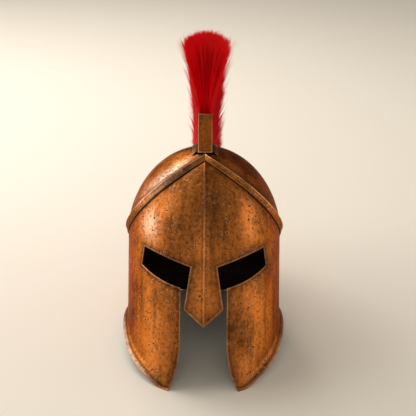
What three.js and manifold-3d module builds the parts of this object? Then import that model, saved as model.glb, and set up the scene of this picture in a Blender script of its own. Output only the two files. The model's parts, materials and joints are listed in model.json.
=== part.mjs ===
// A Greek bronze helmet, made as its real sheet-metal reproductions are: a domed skull cap whose folded brow ridge
// overlaps a face mask with cheek plates, nasal and neck guard, a folded channel that carries the crest, and a red
// hair plume rooted in that channel. The pieces are shaped upright, with the face looking along -Y, the cheek tips at
// height zero and the crown above the origin. The whole helmet is then laid back as it rests on a table, on its two
// cheek tips and the hem of its neck guard. Lengths are in millimetres, angles in degrees.
import * as THREE from "three";
import { mergeVertices } from "three/addons/utils/BufferGeometryUtils.js";
import Module from "manifold-3d";

const wasm = await Module();
wasm.setup();

// The bowl, which skull cap and mask share
const SHEET = 1.6;
const TEMPLE_HALF_WIDTH = 101.5;
const BROW_REACH = 122;
const BACK_REACH = 125;
const WALL_TOP = 190;
const DOME_RISE = 122;
const SEAM_GAP = 0.35;

// The brow ridge, folded out of the skull cap's edge
const RIDGE_PROUD = 5.2;
const RIDGE_SWEEP = 15;
const RIDGE_BAND = 8.5;
const MASK_TUCK = 3.5;

// The mask's lower edge
const NECK_HEM_HEIGHT = 111;
const NECK_FLARE = 22;
const NECK_PINCH = 7;
const SIDE_LIP = 6.4;
const SIDE_LIP_DEPTH = 13;
const NECK_LIP_DEPTH = 36;
const WORN_FLAT = 0.6;
const NAPE_FALL_OFF = 1.5;

// The face opening: eye slots, nasal and the gap between the cheek plates
const GAP_HALF_WIDTH = 29.4;
const TIP_HALF_SPREAD = 44.2;
const TIP_CURVE_HEIGHT = 65;
const TIP_CURVE_PULL = { x: 0.4, rise: 0.43 };
const CHEEK_CORNER_HEIGHT = 129;
const EYE_OUTER_TOP = { x: 76.3, z: 180.2 };
const EYE_OUTER_FOOT = { x: 79.9, z: 156.3 };
const EYE_FOOT_BULGE = { x: 3, z: 7 };
const EYE_TOP_SAG = 2;
const NASAL_ROOT = { x: 16, z: 155.6 };
const NASAL_SHOULDER = { x: 24, z: 102.5 };
const NASAL_POINT_HEIGHT = 81.2;
const KEEL_PROUD = 3.2;
const KEEL_HALF_WIDTH = 25;
const KEEL_FADE = 0.8;

// The crest channel and its roof-shaped skirts
const CHANNEL_SHEET = 1.3;
const CHANNEL_HALF_WIDTH = 9.3;
const CHANNEL_SETBACK = 3.38;
const CHANNEL_FRONT_HEIGHT = 48.3;
const CHANNEL_BACK_HEIGHT = 27;
const CHANNEL_BACK_ANGLE = 80;
const CHANNEL_FLOOR = 2.4;
const CHANNEL_FRONT_FALL = 11;
const CHANNEL_FALL_OFF = 0.75;
const SKIRT_HALF_WIDTH = 16.6;
const SKIRT_DIP = 3;
const SKIRT_ROOT_SHEETS = 0.85;
const SKIRT_FOOT_SHEETS = 1.7;

// The hair plume
const BACKING_GAP = 0.35;
const BACKING_DEPTH = 7;
const HAIR_FRONT_LENGTH = 88;
const HAIR_CROWN_LENGTH = 114;
const HAIR_BACK_LENGTH = 92;
const HAIR_FRONT_LEAN = -9;
const HAIR_BACK_LEAN = 90;
const HAIR_ROOT_HALF_WIDTH = 5.4;
const HAIR_FRONT_HALF_WIDTH = 32;
const HAIR_BACK_HALF_WIDTH = 21;
const HAIR_SWAY = 3.5;
const LOCK_STATIONS = 17;
const LOCK_PITCH = 8.5;
const LOCK_INSET = 4;
const LOCK_ROOT_SHARE = 0.5;
const LOCK_TIP_SHARE = 0.46;
const LOCK_CORNERS = [30, 90, 150, 210, 270, 330];
const SIDE_LOCK_SHARE = 0.6;
const SIDE_LOCK_DROP = 5;
const CROWN_SPREAD = 1.25;
const CROWN_FALL_OFF = 0.8;
const NARROWING = { from: 0.3, to: 0.6 };

// How finely the surfaces are divided: sections across the face and round the rest, and steps along the crest
const FACE_TURN = 32;
const FACE_SECTIONS = 16;
const BACK_SECTIONS = 46;
const CREST_STEPS = 20;
const CURVE_STEPS = 6;
const WELD = 1e-4;

// How far the shapes that cut run past what they cut: lengths, and the crest's angle ahead of the channel
const CUTTER_SIZE = 900;
const OPENING_RUN_OUT = { x: 16, z: 30 };
const OPENING_START = 0.2;
const SLOT_RUN_OUT = 10;
const CREST_RUN_OUT = 14;

// Height of the ridge's crest on the dome, as an angle above the top of the walls, by the turn from the face
const RIDGE_LINE = [
  { turn: 0, lift: 58.7 },
  { turn: 15, lift: 49.5 },
  { turn: 26.5, lift: 41.8 },
  { turn: 37, lift: 34.6 },
  { turn: 53, lift: 23.8 },
  { turn: 72, lift: 13.2 },
  { turn: 90, lift: 6.4 },
  { turn: 125, lift: 0 },
  { turn: 180, lift: -2.5 },
];
// Height of the mask's lower edge, as a share of the neck hem's height
const HEM_LINE = [
  { turn: 0, rise: 0 },
  { turn: 26, rise: 0 },
  { turn: 32, rise: 0.03 },
  { turn: 46, rise: 0.185 },
  { turn: 63, rise: 0.37 },
  { turn: 78, rise: 0.58 },
  { turn: 92, rise: 0.72 },
  { turn: 106, rise: 0.825 },
  { turn: 130, rise: 0.93 },
  { turn: 180, rise: 1 },
];
// How far the lower edge turns out, as a share of the lip at the sides, and from the sides to the back of the neck
const LIP_LINE = [
  { turn: 0, side: 0.35, neck: 0 },
  { turn: 26, side: 0.5, neck: 0 },
  { turn: 46, side: 0.86, neck: 0 },
  { turn: 70, side: 0.97, neck: 0 },
  { turn: 90, side: 1, neck: 0 },
  { turn: 110, side: 1, neck: 0.15 },
  { turn: 140, side: 1, neck: 0.55 },
  { turn: 180, side: 1, neck: 1 },
];
// Rows of the sections, as shares: from the crown to the ridge's sweep, down the sweep, down the brow, down the wall
// and down the lip
const DOME_ROWS = [0, 0.17, 0.34, 0.51, 0.68, 0.84];
const SWEEP_ROWS = [1, 0.45, 0];
const BROW_ROWS = [0, 0.25, 0.5, 0.75];
const WALL_ROWS = [0, 0.35, 0.7];
const LIP_ROWS = [1, 0.62, 0.28, 0];
// A lock of hair from root to tip, with its size between that of its root and that of its tip
const LOCK_RINGS = [
  { along: 0, width: 0 },
  { along: 0.94, width: 1 },
  { along: 1, width: 0.7 },
];

const { degToRad, radToDeg, lerp, clamp, smoothstep } = THREE.MathUtils;
const sin = (angle) => Math.sin(degToRad(angle));
const cos = (angle) => Math.cos(degToRad(angle));
const ROUND_X = new THREE.Vector3(1, 0, 0);

// Reads one column of a table smoothly at a turn.
function follow(table, column, turn) {
  const at = Math.abs(turn);
  const last = table.length - 2;
  const i = table.findLastIndex((row, k) => k <= last && row.turn <= at);
  const row = (k) => table[clamp(k, 0, table.length - 1)];
  const slope = (k) => (row(k + 1)[column] - row(k - 1)[column]) / (row(k + 1).turn - row(k - 1).turn);
  const span = row(i + 1).turn - row(i).turn;
  const t = clamp((at - row(i).turn) / span, 0, 1);
  const startSlope = slope(i) * span;
  const endSlope = slope(i + 1) * span;
  const start = row(i)[column];
  const rise = row(i + 1)[column] - start;
  const bend = 3 * rise - 2 * startSlope - endSlope;
  const twist = startSlope + endSlope - 2 * rise;
  return start + t * startSlope + t ** 2 * bend + t ** 3 * twist;
}

// A point of the bowl: turn goes round the head from the face, lift goes up the dome and, below zero, down the
// walls, and out is the distance outside the bowl's surface.
function bowlPoint(turn, lift, out) {
  const onDome = lift > 0;
  const shrink = onDome ? cos(lift) : 1;
  const reach = cos(turn) > 0 ? BROW_REACH : BACK_REACH;
  const rise = DOME_RISE * (onDome ? sin(lift) : degToRad(lift));
  const point = new THREE.Vector3(TEMPLE_HALF_WIDTH * shrink * sin(turn), -reach * shrink * cos(turn), rise);
  const normal = new THREE.Vector3(
    point.x / TEMPLE_HALF_WIDTH ** 2,
    point.y / reach ** 2,
    onDome ? rise / DOME_RISE ** 2 : 0,
  ).normalize();
  point.z += WALL_TOP;
  return point.addScaledVector(normal, out);
}

const liftOfHeight = (height) => radToDeg((height - WALL_TOP) / DOME_RISE);
const liftOfLength = (length) => radToDeg(length / DOME_RISE);
const heightOfLift = (lift) => degToRad(lift) * DOME_RISE + WALL_TOP;
const ridgeLift = (turn) => follow(RIDGE_LINE, "lift", turn);
const hemHeight = (turn) => NECK_HEM_HEIGHT * follow(HEM_LINE, "rise", turn);
const hemLip = (turn) =>
  SIDE_LIP * follow(LIP_LINE, "side", turn) + (NECK_FLARE - SIDE_LIP) * follow(LIP_LINE, "neck", turn);
const hemLipDepth = (turn) => lerp(SIDE_LIP_DEPTH, NECK_LIP_DEPTH, follow(LIP_LINE, "neck", turn));

// How far the mask stands off the bowl: a keel down the middle of the face, a waist at the nape, and the turned lip.
function maskOut(turn, lift) {
  const across = Math.abs(TEMPLE_HALF_WIDTH * sin(turn));
  const facing = cos(turn) > 0 ? Math.max(0, 1 - across / KEEL_HALF_WIDTH) : 0;
  const keel = KEEL_PROUD * facing * (1 - KEEL_FADE * smoothstep(lift, 0, ridgeLift(0)));
  const aboveHem = heightOfLift(lift) - hemHeight(turn);
  const lip = hemLip(turn) * Math.max(0, 1 - aboveHem / hemLipDepth(turn)) ** 2;
  const behind = Math.max(0, -cos(turn)) ** NAPE_FALL_OFF;
  const napeHeight = clamp((heightOfLift(lift) - NECK_HEM_HEIGHT) / (WALL_TOP - NECK_HEM_HEIGHT), 0, 1);
  const nape = NECK_PINCH * behind * Math.sin(Math.PI * napeHeight) ** 2;
  return keel + lip - nape;
}

// Turns sections into one closed surface round the head. Each section is a list of points; the list closes on
// itself, or starts and ends on the crown's axis where poles is true.
function surfaceRound(turns, section, poles) {
  const sections = turns.map(section);
  const count = sections[0].length;
  const positions = [];
  const triangle = (a, b, c) => positions.push(...a.toArray(), ...b.toArray(), ...c.toArray());
  sections.forEach((here, i) => {
    const next = sections[(i + 1) % sections.length];
    for (let k = 0; k < (poles ? count - 1 : count); k++) {
      const m = (k + 1) % count;
      if (!(poles && k === count - 2)) triangle(here[k], here[m], next[m]);
      if (!(poles && k === 0)) triangle(here[k], next[m], next[k]);
    }
  });
  return new THREE.BufferGeometry().setAttribute("position", new THREE.Float32BufferAttribute(positions, 3));
}

// A closed geometry as a solid for joining and cutting.
function solid(geometry) {
  const plain = geometry.index ? geometry.toNonIndexed() : geometry.clone();
  plain.deleteAttribute("normal");
  plain.deleteAttribute("uv");
  const merged = mergeVertices(plain, WELD);
  const mesh = new wasm.Mesh({
    numProp: 3,
    vertProperties: new Float32Array(merged.attributes.position.array),
    triVerts: new Uint32Array(merged.index.array),
  });
  return new wasm.Manifold(mesh);
}

function geometryOf(manifold) {
  const mesh = manifold.getMesh();
  const geometry = new THREE.BufferGeometry();
  geometry.setAttribute("position", new THREE.BufferAttribute(mesh.vertProperties.slice(), 3));
  geometry.setIndex(new THREE.BufferAttribute(mesh.triVerts.slice(), 1));
  geometry.computeVertexNormals();
  return geometry;
}

// A block larger than the helmet, for cutting all that lies beyond a plane
function cutter() {
  return new THREE.BoxGeometry(CUTTER_SIZE, CUTTER_SIZE, CUTTER_SIZE);
}

// A shape drawn in front view, x across and y up, pushed through from one depth to another.
function throughFront(shape, from, to) {
  const options = { depth: to - from, bevelEnabled: false, curveSegments: CURVE_STEPS };
  const geometry = new THREE.ExtrudeGeometry(shape, options);
  return solid(geometry.rotateX(Math.PI / 2).translate(0, to, 0));
}

// A shape drawn in side view, x towards the back and y up, pushed through to both sides of the middle.
function throughSide(shape, halfWidth) {
  const geometry = new THREE.ExtrudeGeometry(shape, { depth: 2 * halfWidth, bevelEnabled: false });
  const toSideView = new THREE.Matrix4().makeBasis(
    new THREE.Vector3(0, 1, 0),
    new THREE.Vector3(0, 0, 1),
    new THREE.Vector3(1, 0, 0),
  );
  return solid(geometry.applyMatrix4(toSideView).translate(-halfWidth, 0, 0));
}

// Turns of the sections: finer across the face, where the keel and the face opening are
const TURNS = [
  ...Array.from({ length: FACE_SECTIONS }, (_, i) => lerp(-FACE_TURN, FACE_TURN, i / FACE_SECTIONS)),
  ...Array.from({ length: BACK_SECTIONS }, (_, i) => lerp(FACE_TURN, 360 - FACE_TURN, i / BACK_SECTIONS)),
].map((turn) => (turn > 180 ? turn - 360 : turn));

// The skull cap's outside, from the crown down to the ridge's crest
function skullOutside(turn) {
  const crest = ridgeLift(turn);
  const sweepTop = crest + liftOfLength(RIDGE_SWEEP);
  const dome = DOME_ROWS.map((share) => ({ lift: lerp(90, sweepTop, share), out: SHEET }));
  const sweep = SWEEP_ROWS.map((share) => ({
    lift: crest + liftOfLength(RIDGE_SWEEP * share),
    out: SHEET + (RIDGE_PROUD - SHEET) * (1 - share) ** 2,
  }));
  return [...dome, ...sweep];
}

// The skull cap: a dome whose edge sweeps out to the ridge's crest and folds back down on to the mask
function skullSection(turn) {
  const crest = ridgeLift(turn);
  const fold = crest - liftOfLength(RIDGE_BAND);
  const rim = SEAM_GAP + maskOut(turn, fold);
  const outside = skullOutside(turn);
  const inner = outside.slice(0, -1).map(({ lift, out }) => ({ lift, out: out - SHEET }));
  const innerCrest = { lift: crest - liftOfLength(SHEET / 3), out: RIDGE_PROUD - SHEET };
  const edge = [{ lift: fold, out: rim + SHEET }, { lift: fold, out: rim }];
  const chain = [...outside, ...edge, innerCrest, ...inner.reverse()];
  return chain.map(({ lift, out }) => bowlPoint(turn, lift, out));
}

// The mask: its top edge is tucked up inside the ridge, its lower edge turns out in a lip
function maskSection(turn) {
  const top = ridgeLift(turn) + liftOfLength(MASK_TUCK);
  const hem = hemHeight(turn);
  const lipTop = liftOfHeight(hem + hemLipDepth(turn));
  const browFoot = Math.min(0, top - liftOfLength(MASK_TUCK));
  const lifts = [
    ...BROW_ROWS.map((share) => lerp(top, browFoot, share)),
    ...WALL_ROWS.map((share) => lerp(browFoot, lipTop, share)),
    ...LIP_ROWS.map((share) => liftOfHeight(hem + share * hemLipDepth(turn))),
  ];
  const outer = lifts.map((lift) => bowlPoint(turn, lift, maskOut(turn, lift)));
  const inner = lifts.map((lift) => bowlPoint(turn, lift, maskOut(turn, lift) - SHEET));
  return [...outer, ...inner.reverse()];
}

// The face opening in front view, drawn down the right side and mirrored up the left
function faceOpening() {
  const belowHalfWidth = TIP_HALF_SPREAD + OPENING_RUN_OUT.x;
  const tipPull = { x: GAP_HALF_WIDTH + TIP_CURVE_PULL.x, z: TIP_CURVE_PULL.rise * TIP_CURVE_HEIGHT };
  const eyeFootPull = {
    x: (GAP_HALF_WIDTH + EYE_OUTER_FOOT.x) / 2 + EYE_FOOT_BULGE.x,
    z: CHEEK_CORNER_HEIGHT + EYE_FOOT_BULGE.z,
  };
  const eyeTopPull = {
    x: (NASAL_ROOT.x + EYE_OUTER_TOP.x) / 2,
    z: (NASAL_ROOT.z + EYE_OUTER_TOP.z) / 2 - EYE_TOP_SAG,
  };
  const shape = new THREE.Shape();
  shape.moveTo(-belowHalfWidth, -OPENING_RUN_OUT.z);
  shape.lineTo(belowHalfWidth, -OPENING_RUN_OUT.z);
  shape.lineTo(TIP_HALF_SPREAD, 0);
  shape.quadraticCurveTo(tipPull.x, tipPull.z, GAP_HALF_WIDTH, TIP_CURVE_HEIGHT);
  shape.lineTo(GAP_HALF_WIDTH, CHEEK_CORNER_HEIGHT);
  shape.quadraticCurveTo(eyeFootPull.x, eyeFootPull.z, EYE_OUTER_FOOT.x, EYE_OUTER_FOOT.z);
  shape.lineTo(EYE_OUTER_TOP.x, EYE_OUTER_TOP.z);
  shape.quadraticCurveTo(eyeTopPull.x, eyeTopPull.z, NASAL_ROOT.x, NASAL_ROOT.z);
  shape.lineTo(NASAL_SHOULDER.x, NASAL_SHOULDER.z);
  shape.lineTo(0, NASAL_POINT_HEIGHT);
  shape.lineTo(-NASAL_SHOULDER.x, NASAL_SHOULDER.z);
  shape.lineTo(-NASAL_ROOT.x, NASAL_ROOT.z);
  shape.quadraticCurveTo(-eyeTopPull.x, eyeTopPull.z, -EYE_OUTER_TOP.x, EYE_OUTER_TOP.z);
  shape.lineTo(-EYE_OUTER_FOOT.x, EYE_OUTER_FOOT.z);
  shape.quadraticCurveTo(-eyeFootPull.x, eyeFootPull.z, -GAP_HALF_WIDTH, CHEEK_CORNER_HEIGHT);
  shape.lineTo(-GAP_HALF_WIDTH, TIP_CURVE_HEIGHT);
  shape.quadraticCurveTo(-tipPull.x, tipPull.z, -TIP_HALF_SPREAD, 0);
  return shape;
}

// How the helmet rests: the angle it leans back, and its lowest points
const tipTurn = radToDeg(Math.asin(TIP_HALF_SPREAD / TEMPLE_HALF_WIDTH));
const cheekTip = bowlPoint(tipTurn, liftOfHeight(0), hemLip(tipTurn) - SHEET / 2);
const neckHem = bowlPoint(180, liftOfHeight(NECK_HEM_HEIGHT), NECK_FLARE);
const LEAN = Math.atan2(neckHem.z - cheekTip.z, neckHem.y - cheekTip.y);

// The table's top in the upright helmet's own frame, as a thick slab that cuts the worn flats
function tableSlab() {
  const slab = cutter().translate(0, 0, WORN_FLAT - CUTTER_SIZE / 2);
  return solid(slab.rotateX(LEAN).translate(0, cheekTip.y, cheekTip.z));
}

// The crest's line over the crown, in side view: angle from upright, towards the back, and height above the skull
const CROWN = new THREE.Vector2(0, WALL_TOP);
const channelFront = CHANNEL_SETBACK - BROW_REACH * cos(ridgeLift(0));
const crestFrontRise = DOME_RISE + SHEET + CHANNEL_FRONT_HEIGHT - CHANNEL_FRONT_FALL;
const crestFrontAngle = radToDeg(Math.atan2(channelFront, crestFrontRise));
const crestShare = (angle) => (angle - crestFrontAngle) / (CHANNEL_BACK_ANGLE - crestFrontAngle);
const skullRadius = (angle) => {
  const reach = (angle < 0 ? BROW_REACH : BACK_REACH) + SHEET;
  const rise = DOME_RISE + SHEET;
  return 1 / Math.hypot(sin(angle) / reach, cos(angle) / rise);
};
const channelHeight = (angle) => {
  const share = clamp(crestShare(angle), 0, 1) ** CHANNEL_FALL_OFF;
  return lerp(CHANNEL_FRONT_HEIGHT, CHANNEL_BACK_HEIGHT, share);
};
const crestPoint = (angle, height) => {
  const radius = skullRadius(angle) + height;
  return new THREE.Vector2(CROWN.x + radius * sin(angle), CROWN.y + radius * cos(angle));
};
const crestAngles = () => {
  const from = crestFrontAngle - CREST_RUN_OUT;
  return Array.from({ length: CREST_STEPS + 1 }, (_, i) => lerp(from, CHANNEL_BACK_ANGLE, i / CREST_STEPS));
};

const allAhead = (depth) => solid(cutter().translate(0, depth - CUTTER_SIZE / 2, WALL_TOP));

// A band of the side view between two heights above the skull, cut off upright at a depth in front
function crestBand(lower, upper, front, halfWidth) {
  const angles = crestAngles();
  const outline = [
    ...angles.map((angle) => crestPoint(angle, lower(angle))),
    ...angles.reverse().map((angle) => crestPoint(angle, upper(angle))),
  ];
  return throughSide(new THREE.Shape(outline), halfWidth).subtract(allAhead(front));
}

// The skull cap's outer face as a full solid, a gap larger, for seating the channel on it
function skullSeat() {
  const section = (turn) => [
    ...skullOutside(turn).map(({ lift, out }) => bowlPoint(turn, lift, out + SEAM_GAP)),
    new THREE.Vector3(0, 0, WALL_TOP - RIDGE_SWEEP),
  ];
  return solid(surfaceRound(TURNS, section, true));
}

// Two skirts, which slope from the channel's walls down to the skull and are cut off there by its seat
function channelSkirts() {
  const angles = crestAngles();
  const top = CHANNEL_FLOOR + CHANNEL_SHEET;
  const sag = DOME_RISE * (1 - Math.sqrt(1 - (SKIRT_HALF_WIDTH / TEMPLE_HALF_WIDTH) ** 2));
  const pitch = (top + sag) / (SKIRT_HALF_WIDTH - CHANNEL_HALF_WIDTH);
  const foot = -sag - SKIRT_DIP;
  const footHalfWidth = SKIRT_HALF_WIDTH + SKIRT_DIP / pitch;
  const outline = (side) => [
    [side * (CHANNEL_HALF_WIDTH - CHANNEL_SHEET), top],
    [side * CHANNEL_HALF_WIDTH, top],
    [side * footHalfWidth, foot],
    [side * (footHalfWidth - SKIRT_FOOT_SHEETS * CHANNEL_SHEET), foot],
    [side * (CHANNEL_HALF_WIDTH - CHANNEL_SHEET), top - SKIRT_ROOT_SHEETS * CHANNEL_SHEET],
  ];
  const skirts = [-1, 1].map((side) => {
    const rings = angles.map((angle) =>
      outline(side).map(([x, height]) => {
        const { x: y, y: z } = crestPoint(angle, height);
        return new THREE.Vector3(x, y, z);
      }),
    );
    return solid(loft(side > 0 ? rings : rings.reverse()));
  });
  return skirts[0].add(skirts[1]).subtract(allAhead(channelFront + CHANNEL_SHEET));
}

// Rings of equal length, joined one to the next and closed with a flat fan at each end
function loft(rings) {
  const positions = [];
  const triangle = (a, b, c) => positions.push(...a.toArray(), ...b.toArray(), ...c.toArray());
  const count = rings[0].length;
  for (let i = 0; i + 1 < rings.length; i++) {
    for (let k = 0; k < count; k++) {
      const m = (k + 1) % count;
      triangle(rings[i][k], rings[i][m], rings[i + 1][m]);
      triangle(rings[i][k], rings[i + 1][m], rings[i + 1][k]);
    }
  }
  const middle = (ring) => ring.reduce((sum, p) => sum.add(p), new THREE.Vector3()).divideScalar(count);
  const first = rings[0];
  const last = rings[rings.length - 1];
  for (let k = 0; k < count; k++) {
    const m = (k + 1) % count;
    triangle(first[m], first[k], middle(first));
    triangle(last[k], last[m], middle(last));
  }
  return new THREE.BufferGeometry().setAttribute("position", new THREE.Float32BufferAttribute(positions, 3));
}

function crestChannel() {
  const floorTop = () => CHANNEL_FLOOR + CHANNEL_SHEET;
  const above = (angle) => channelHeight(angle) + SLOT_RUN_OUT;
  const box = crestBand(() => CHANNEL_FLOOR, channelHeight, channelFront, CHANNEL_HALF_WIDTH);
  const slot = crestBand(floorTop, above, channelFront + CHANNEL_SHEET, CHANNEL_HALF_WIDTH - CHANNEL_SHEET);
  return box.subtract(slot).add(channelSkirts()).subtract(skullSeat());
}

// One lock of hair, as a six-sided bundle that widens from its root and rounds off at its tip
function hairLock(root, tip, rootSize, tipSize) {
  const direction = tip.clone().sub(root).normalize();
  const across = ROUND_X.clone().addScaledVector(direction, -direction.x).normalize();
  const forward = new THREE.Vector3().crossVectors(direction, across);
  const rings = LOCK_RINGS.map(({ along, width }) =>
    LOCK_CORNERS.map((angle) => {
      const size = rootSize.clone().lerp(tipSize, width);
      return root
        .clone()
        .lerp(tip, along)
        .addScaledVector(across, size.x * cos(angle))
        .addScaledVector(forward, size.y * sin(angle));
    }),
  );
  return solid(loft(rings));
}

// The plume: a root block that lies in the channel, with three locks abreast at each station along it
function plume() {
  const blockFoot = () => CHANNEL_FLOOR + CHANNEL_SHEET + BACKING_GAP;
  const blockTop = (angle) => channelHeight(angle) - BACKING_DEPTH;
  const halfWidth = CHANNEL_HALF_WIDTH - CHANNEL_SHEET - BACKING_GAP;
  const front = channelFront + CHANNEL_SHEET + BACKING_GAP;
  let body = crestBand(blockFoot, blockTop, front, halfWidth);
  const rootHalfWidth = LOCK_ROOT_SHARE * HAIR_ROOT_HALF_WIDTH;
  const rootSize = new THREE.Vector2(rootHalfWidth, LOCK_PITCH);
  for (let i = 0; i < LOCK_STATIONS; i++) {
    const share = i / (LOCK_STATIONS - 1);
    const angle = lerp(crestFrontAngle + LOCK_INSET, CHANNEL_BACK_ANGLE - LOCK_INSET, share);
    const lean = lerp(HAIR_FRONT_LEAN, HAIR_BACK_LEAN, share);
    const crownward = Math.sin(Math.PI * Math.min(1, CROWN_SPREAD * share) ** CROWN_FALL_OFF);
    const length = lerp(lerp(HAIR_FRONT_LENGTH, HAIR_BACK_LENGTH, share), HAIR_CROWN_LENGTH, crownward);
    const narrowed = smoothstep(share, NARROWING.from, NARROWING.to);
    const spread = lerp(HAIR_FRONT_HALF_WIDTH, HAIR_BACK_HALF_WIDTH, narrowed);
    const tipSize = new THREE.Vector2(LOCK_TIP_SHARE * spread, 2 * LOCK_PITCH);
    const start = crestPoint(angle, blockTop(angle) - SHEET);
    for (const side of [-1, 0, 1]) {
      const root = new THREE.Vector3(side * rootHalfWidth, start.x, start.y);
      const reach = length + BACKING_DEPTH + SHEET - (side ? SIDE_LOCK_DROP : 0);
      const tip = new THREE.Vector3(
        share * HAIR_SWAY + side * SIDE_LOCK_SHARE * spread,
        start.x + reach * sin(lean),
        start.y + reach * cos(lean),
      );
      body = body.add(hairLock(root, tip, rootSize, tipSize));
    }
  }
  return body;
}

const bronze = new THREE.MeshStandardMaterial({ color: 0x8a4a1e, metalness: 0.85, roughness: 0.38 });
const channelBronze = new THREE.MeshStandardMaterial({ color: 0x7a4a18, metalness: 0.75, roughness: 0.45 });
const redHair = new THREE.MeshStandardMaterial({ color: 0xc4061a, metalness: 0, roughness: 0.7 });

const upright = new THREE.Group();
function addPiece(name, manifold, material) {
  const mesh = new THREE.Mesh(geometryOf(manifold), material);
  mesh.name = name;
  upright.add(mesh);
}

const mask = solid(surfaceRound(TURNS, maskSection, false))
  .subtract(throughFront(faceOpening(), -2 * BROW_REACH, -OPENING_START * BROW_REACH))
  .subtract(tableSlab());
addPiece("skull_cap", solid(surfaceRound(TURNS, skullSection, true)), bronze);
addPiece("face_mask", mask, bronze);
addPiece("crest_holder", crestChannel(), channelBronze);
addPiece("plume", plume(), redHair);

// Laid back on the table, with the origin on the table under the middle of the whole helmet
upright.rotation.x = -LEAN;
const restingTip = cheekTip.clone().applyAxisAngle(ROUND_X, -LEAN);
upright.position.z = -restingTip.z - WORN_FLAT;
const helmet = new THREE.Group();
helmet.add(upright);
helmet.updateMatrixWorld(true);
const extent = new THREE.Box3().setFromObject(helmet, true);
upright.position.y = -(extent.min.y + extent.max.y) / 2;

export default helmet;
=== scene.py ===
"""A Greek bronze helmet with a red hair plume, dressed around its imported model.

The metal sheets are drawn fine from the same sizes as the solids: a skull cap with a folded brow ridge, a face mask
with a turned lip, and the crest channel. The plume is bristle hair set out by a node modifier. Sizes are in metres
in the settings and in millimetres in the tables and the shape functions. Left and right are the wearer's, and +X
points to the left.
"""

import json
import math

import bpy
import numpy as np
from mathutils import Matrix, Vector, geometry
from mathutils.kdtree import KDTree

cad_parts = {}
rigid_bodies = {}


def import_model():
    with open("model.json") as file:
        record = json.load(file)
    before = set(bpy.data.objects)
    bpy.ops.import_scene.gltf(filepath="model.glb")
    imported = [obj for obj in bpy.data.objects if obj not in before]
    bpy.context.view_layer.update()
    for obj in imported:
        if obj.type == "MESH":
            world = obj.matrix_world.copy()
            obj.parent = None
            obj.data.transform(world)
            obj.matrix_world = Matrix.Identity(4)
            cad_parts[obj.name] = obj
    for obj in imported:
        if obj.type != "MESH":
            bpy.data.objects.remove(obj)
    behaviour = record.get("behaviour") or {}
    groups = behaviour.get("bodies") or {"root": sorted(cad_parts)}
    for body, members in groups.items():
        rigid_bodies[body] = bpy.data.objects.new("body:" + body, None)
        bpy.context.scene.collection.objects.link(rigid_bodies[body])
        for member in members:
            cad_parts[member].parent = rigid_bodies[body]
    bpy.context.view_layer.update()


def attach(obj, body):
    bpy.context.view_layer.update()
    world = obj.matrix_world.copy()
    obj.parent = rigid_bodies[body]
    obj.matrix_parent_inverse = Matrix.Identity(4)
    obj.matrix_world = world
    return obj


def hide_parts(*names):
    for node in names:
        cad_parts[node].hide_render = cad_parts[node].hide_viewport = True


bl_info = {
    "name": "Bronze Helmet",
    "blender": (4, 5, 0),
    "version": (1, 0, 0),
    "location": "3D View > Sidebar > Helmet",
    "description": "Builds a Greek bronze helmet with a hair plume around its packed model",
    "category": "Object",
}

MM = 0.001
HALVINGS = 40

# The bowl that the skull cap and the mask share
TEMPLE_HALF_WIDTH = 101.5
BROW_REACH = 122.0
BACK_REACH = 125.0
WALL_TOP = 190.0
DOME_RISE = 122.0
SHEET = 1.6
SEAM_GAP = 0.35

# The ridge, the keel, the lip and the nape
RIDGE_PROUD = 5.2
RIDGE_SWEEP = 15.0
RIDGE_BAND = 8.5
MASK_TUCK = 3.5
KEEL_PROUD = 3.2
KEEL_HALF_WIDTH = 25.0
NECK_HEM_HEIGHT = 111.0
NECK_FLARE = 22.0
NECK_PINCH = 7.0
SIDE_LIP = 6.4
SIDE_LIP_DEPTH = 13.0
NECK_LIP_DEPTH = 36.0

# Relief on the mask: the bead at the opening, the rib down the keel and the groove above the turned part of the lip
BEAD_REACH = 2.4
RIB_HEIGHT = 0.6
RIB_HALF_WIDTH = 1.05
GROOVE_DEPTH = 0.55
GROOVE_HALF_WIDTH = 1.1
TURNED_SHARE = 0.3

# The mask's net: distance between its rows and from them to the outline, as shares of its grain
NET_ROW = 0.87
NET_CLEARANCE = 0.55

# The face opening, by its corners in front view: across and height
TIP = (44.2, 0.0)
TIP_PULL = (29.8, 28.0)
GAP_FOOT = (29.4, 65.0)
CHEEK_CORNER = (29.4, 129.0)
EYE_FOOT_PULL = (57.65, 136.0)
EYE_OUTER_FOOT = (79.9, 156.3)
EYE_OUTER_TOP = (76.3, 180.2)
EYE_TOP_PULL = (46.15, 165.9)
NASAL_ROOT = (16.0, 155.6)
NASAL_SHOULDER = (24.0, 102.5)
NASAL_POINT = (0.0, 81.2)
WIDEST_TURN = 88.0

# The crest channel and its skirts
CHANNEL_SHEET = 1.3
CHANNEL_HALF_WIDTH = 9.3
CHANNEL_FRONT = -60.0
CHANNEL_FRONT_HEIGHT = 48.3
CHANNEL_BACK_HEIGHT = 27.0
CHANNEL_BACK_ANGLE = 80.0
CHANNEL_FLOOR = 2.4
CHANNEL_STATIONS = 110
CREST_FRONT_DROP = 11.0
CREST_FRONT_ANGLE = math.degrees(math.atan2(CHANNEL_FRONT, DOME_RISE + SHEET + CHANNEL_FRONT_HEIGHT - CREST_FRONT_DROP))
SKIRT_HALF_WIDTH = 16.6
SKIRT_SLANT = 5.0
SLOT_SETBACK = 0.2

# The hair: its depth in the channel, the degrees free of it at each end of the channel, the share of the mouth that
# its roots fill, the share of its spread that is bend, and the dark core's foot, widths and stations
HAIR_INSET = 7.0
HAIR_END_GAP = 2.4
ROOT_FILL = 0.9
HAIR_BOW = 0.62
CORE_DEPTH = 14.0
CORE_WIDTH = 0.62
CORE_TOP_WIDTH = 0.3
CORE_STATIONS = 60
BRISTLE_WIDTHS = (0.8, 1.0, 1.0, 0.9, 0.7, 0.35)
BRISTLE_DISORDER = 0.0022

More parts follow.
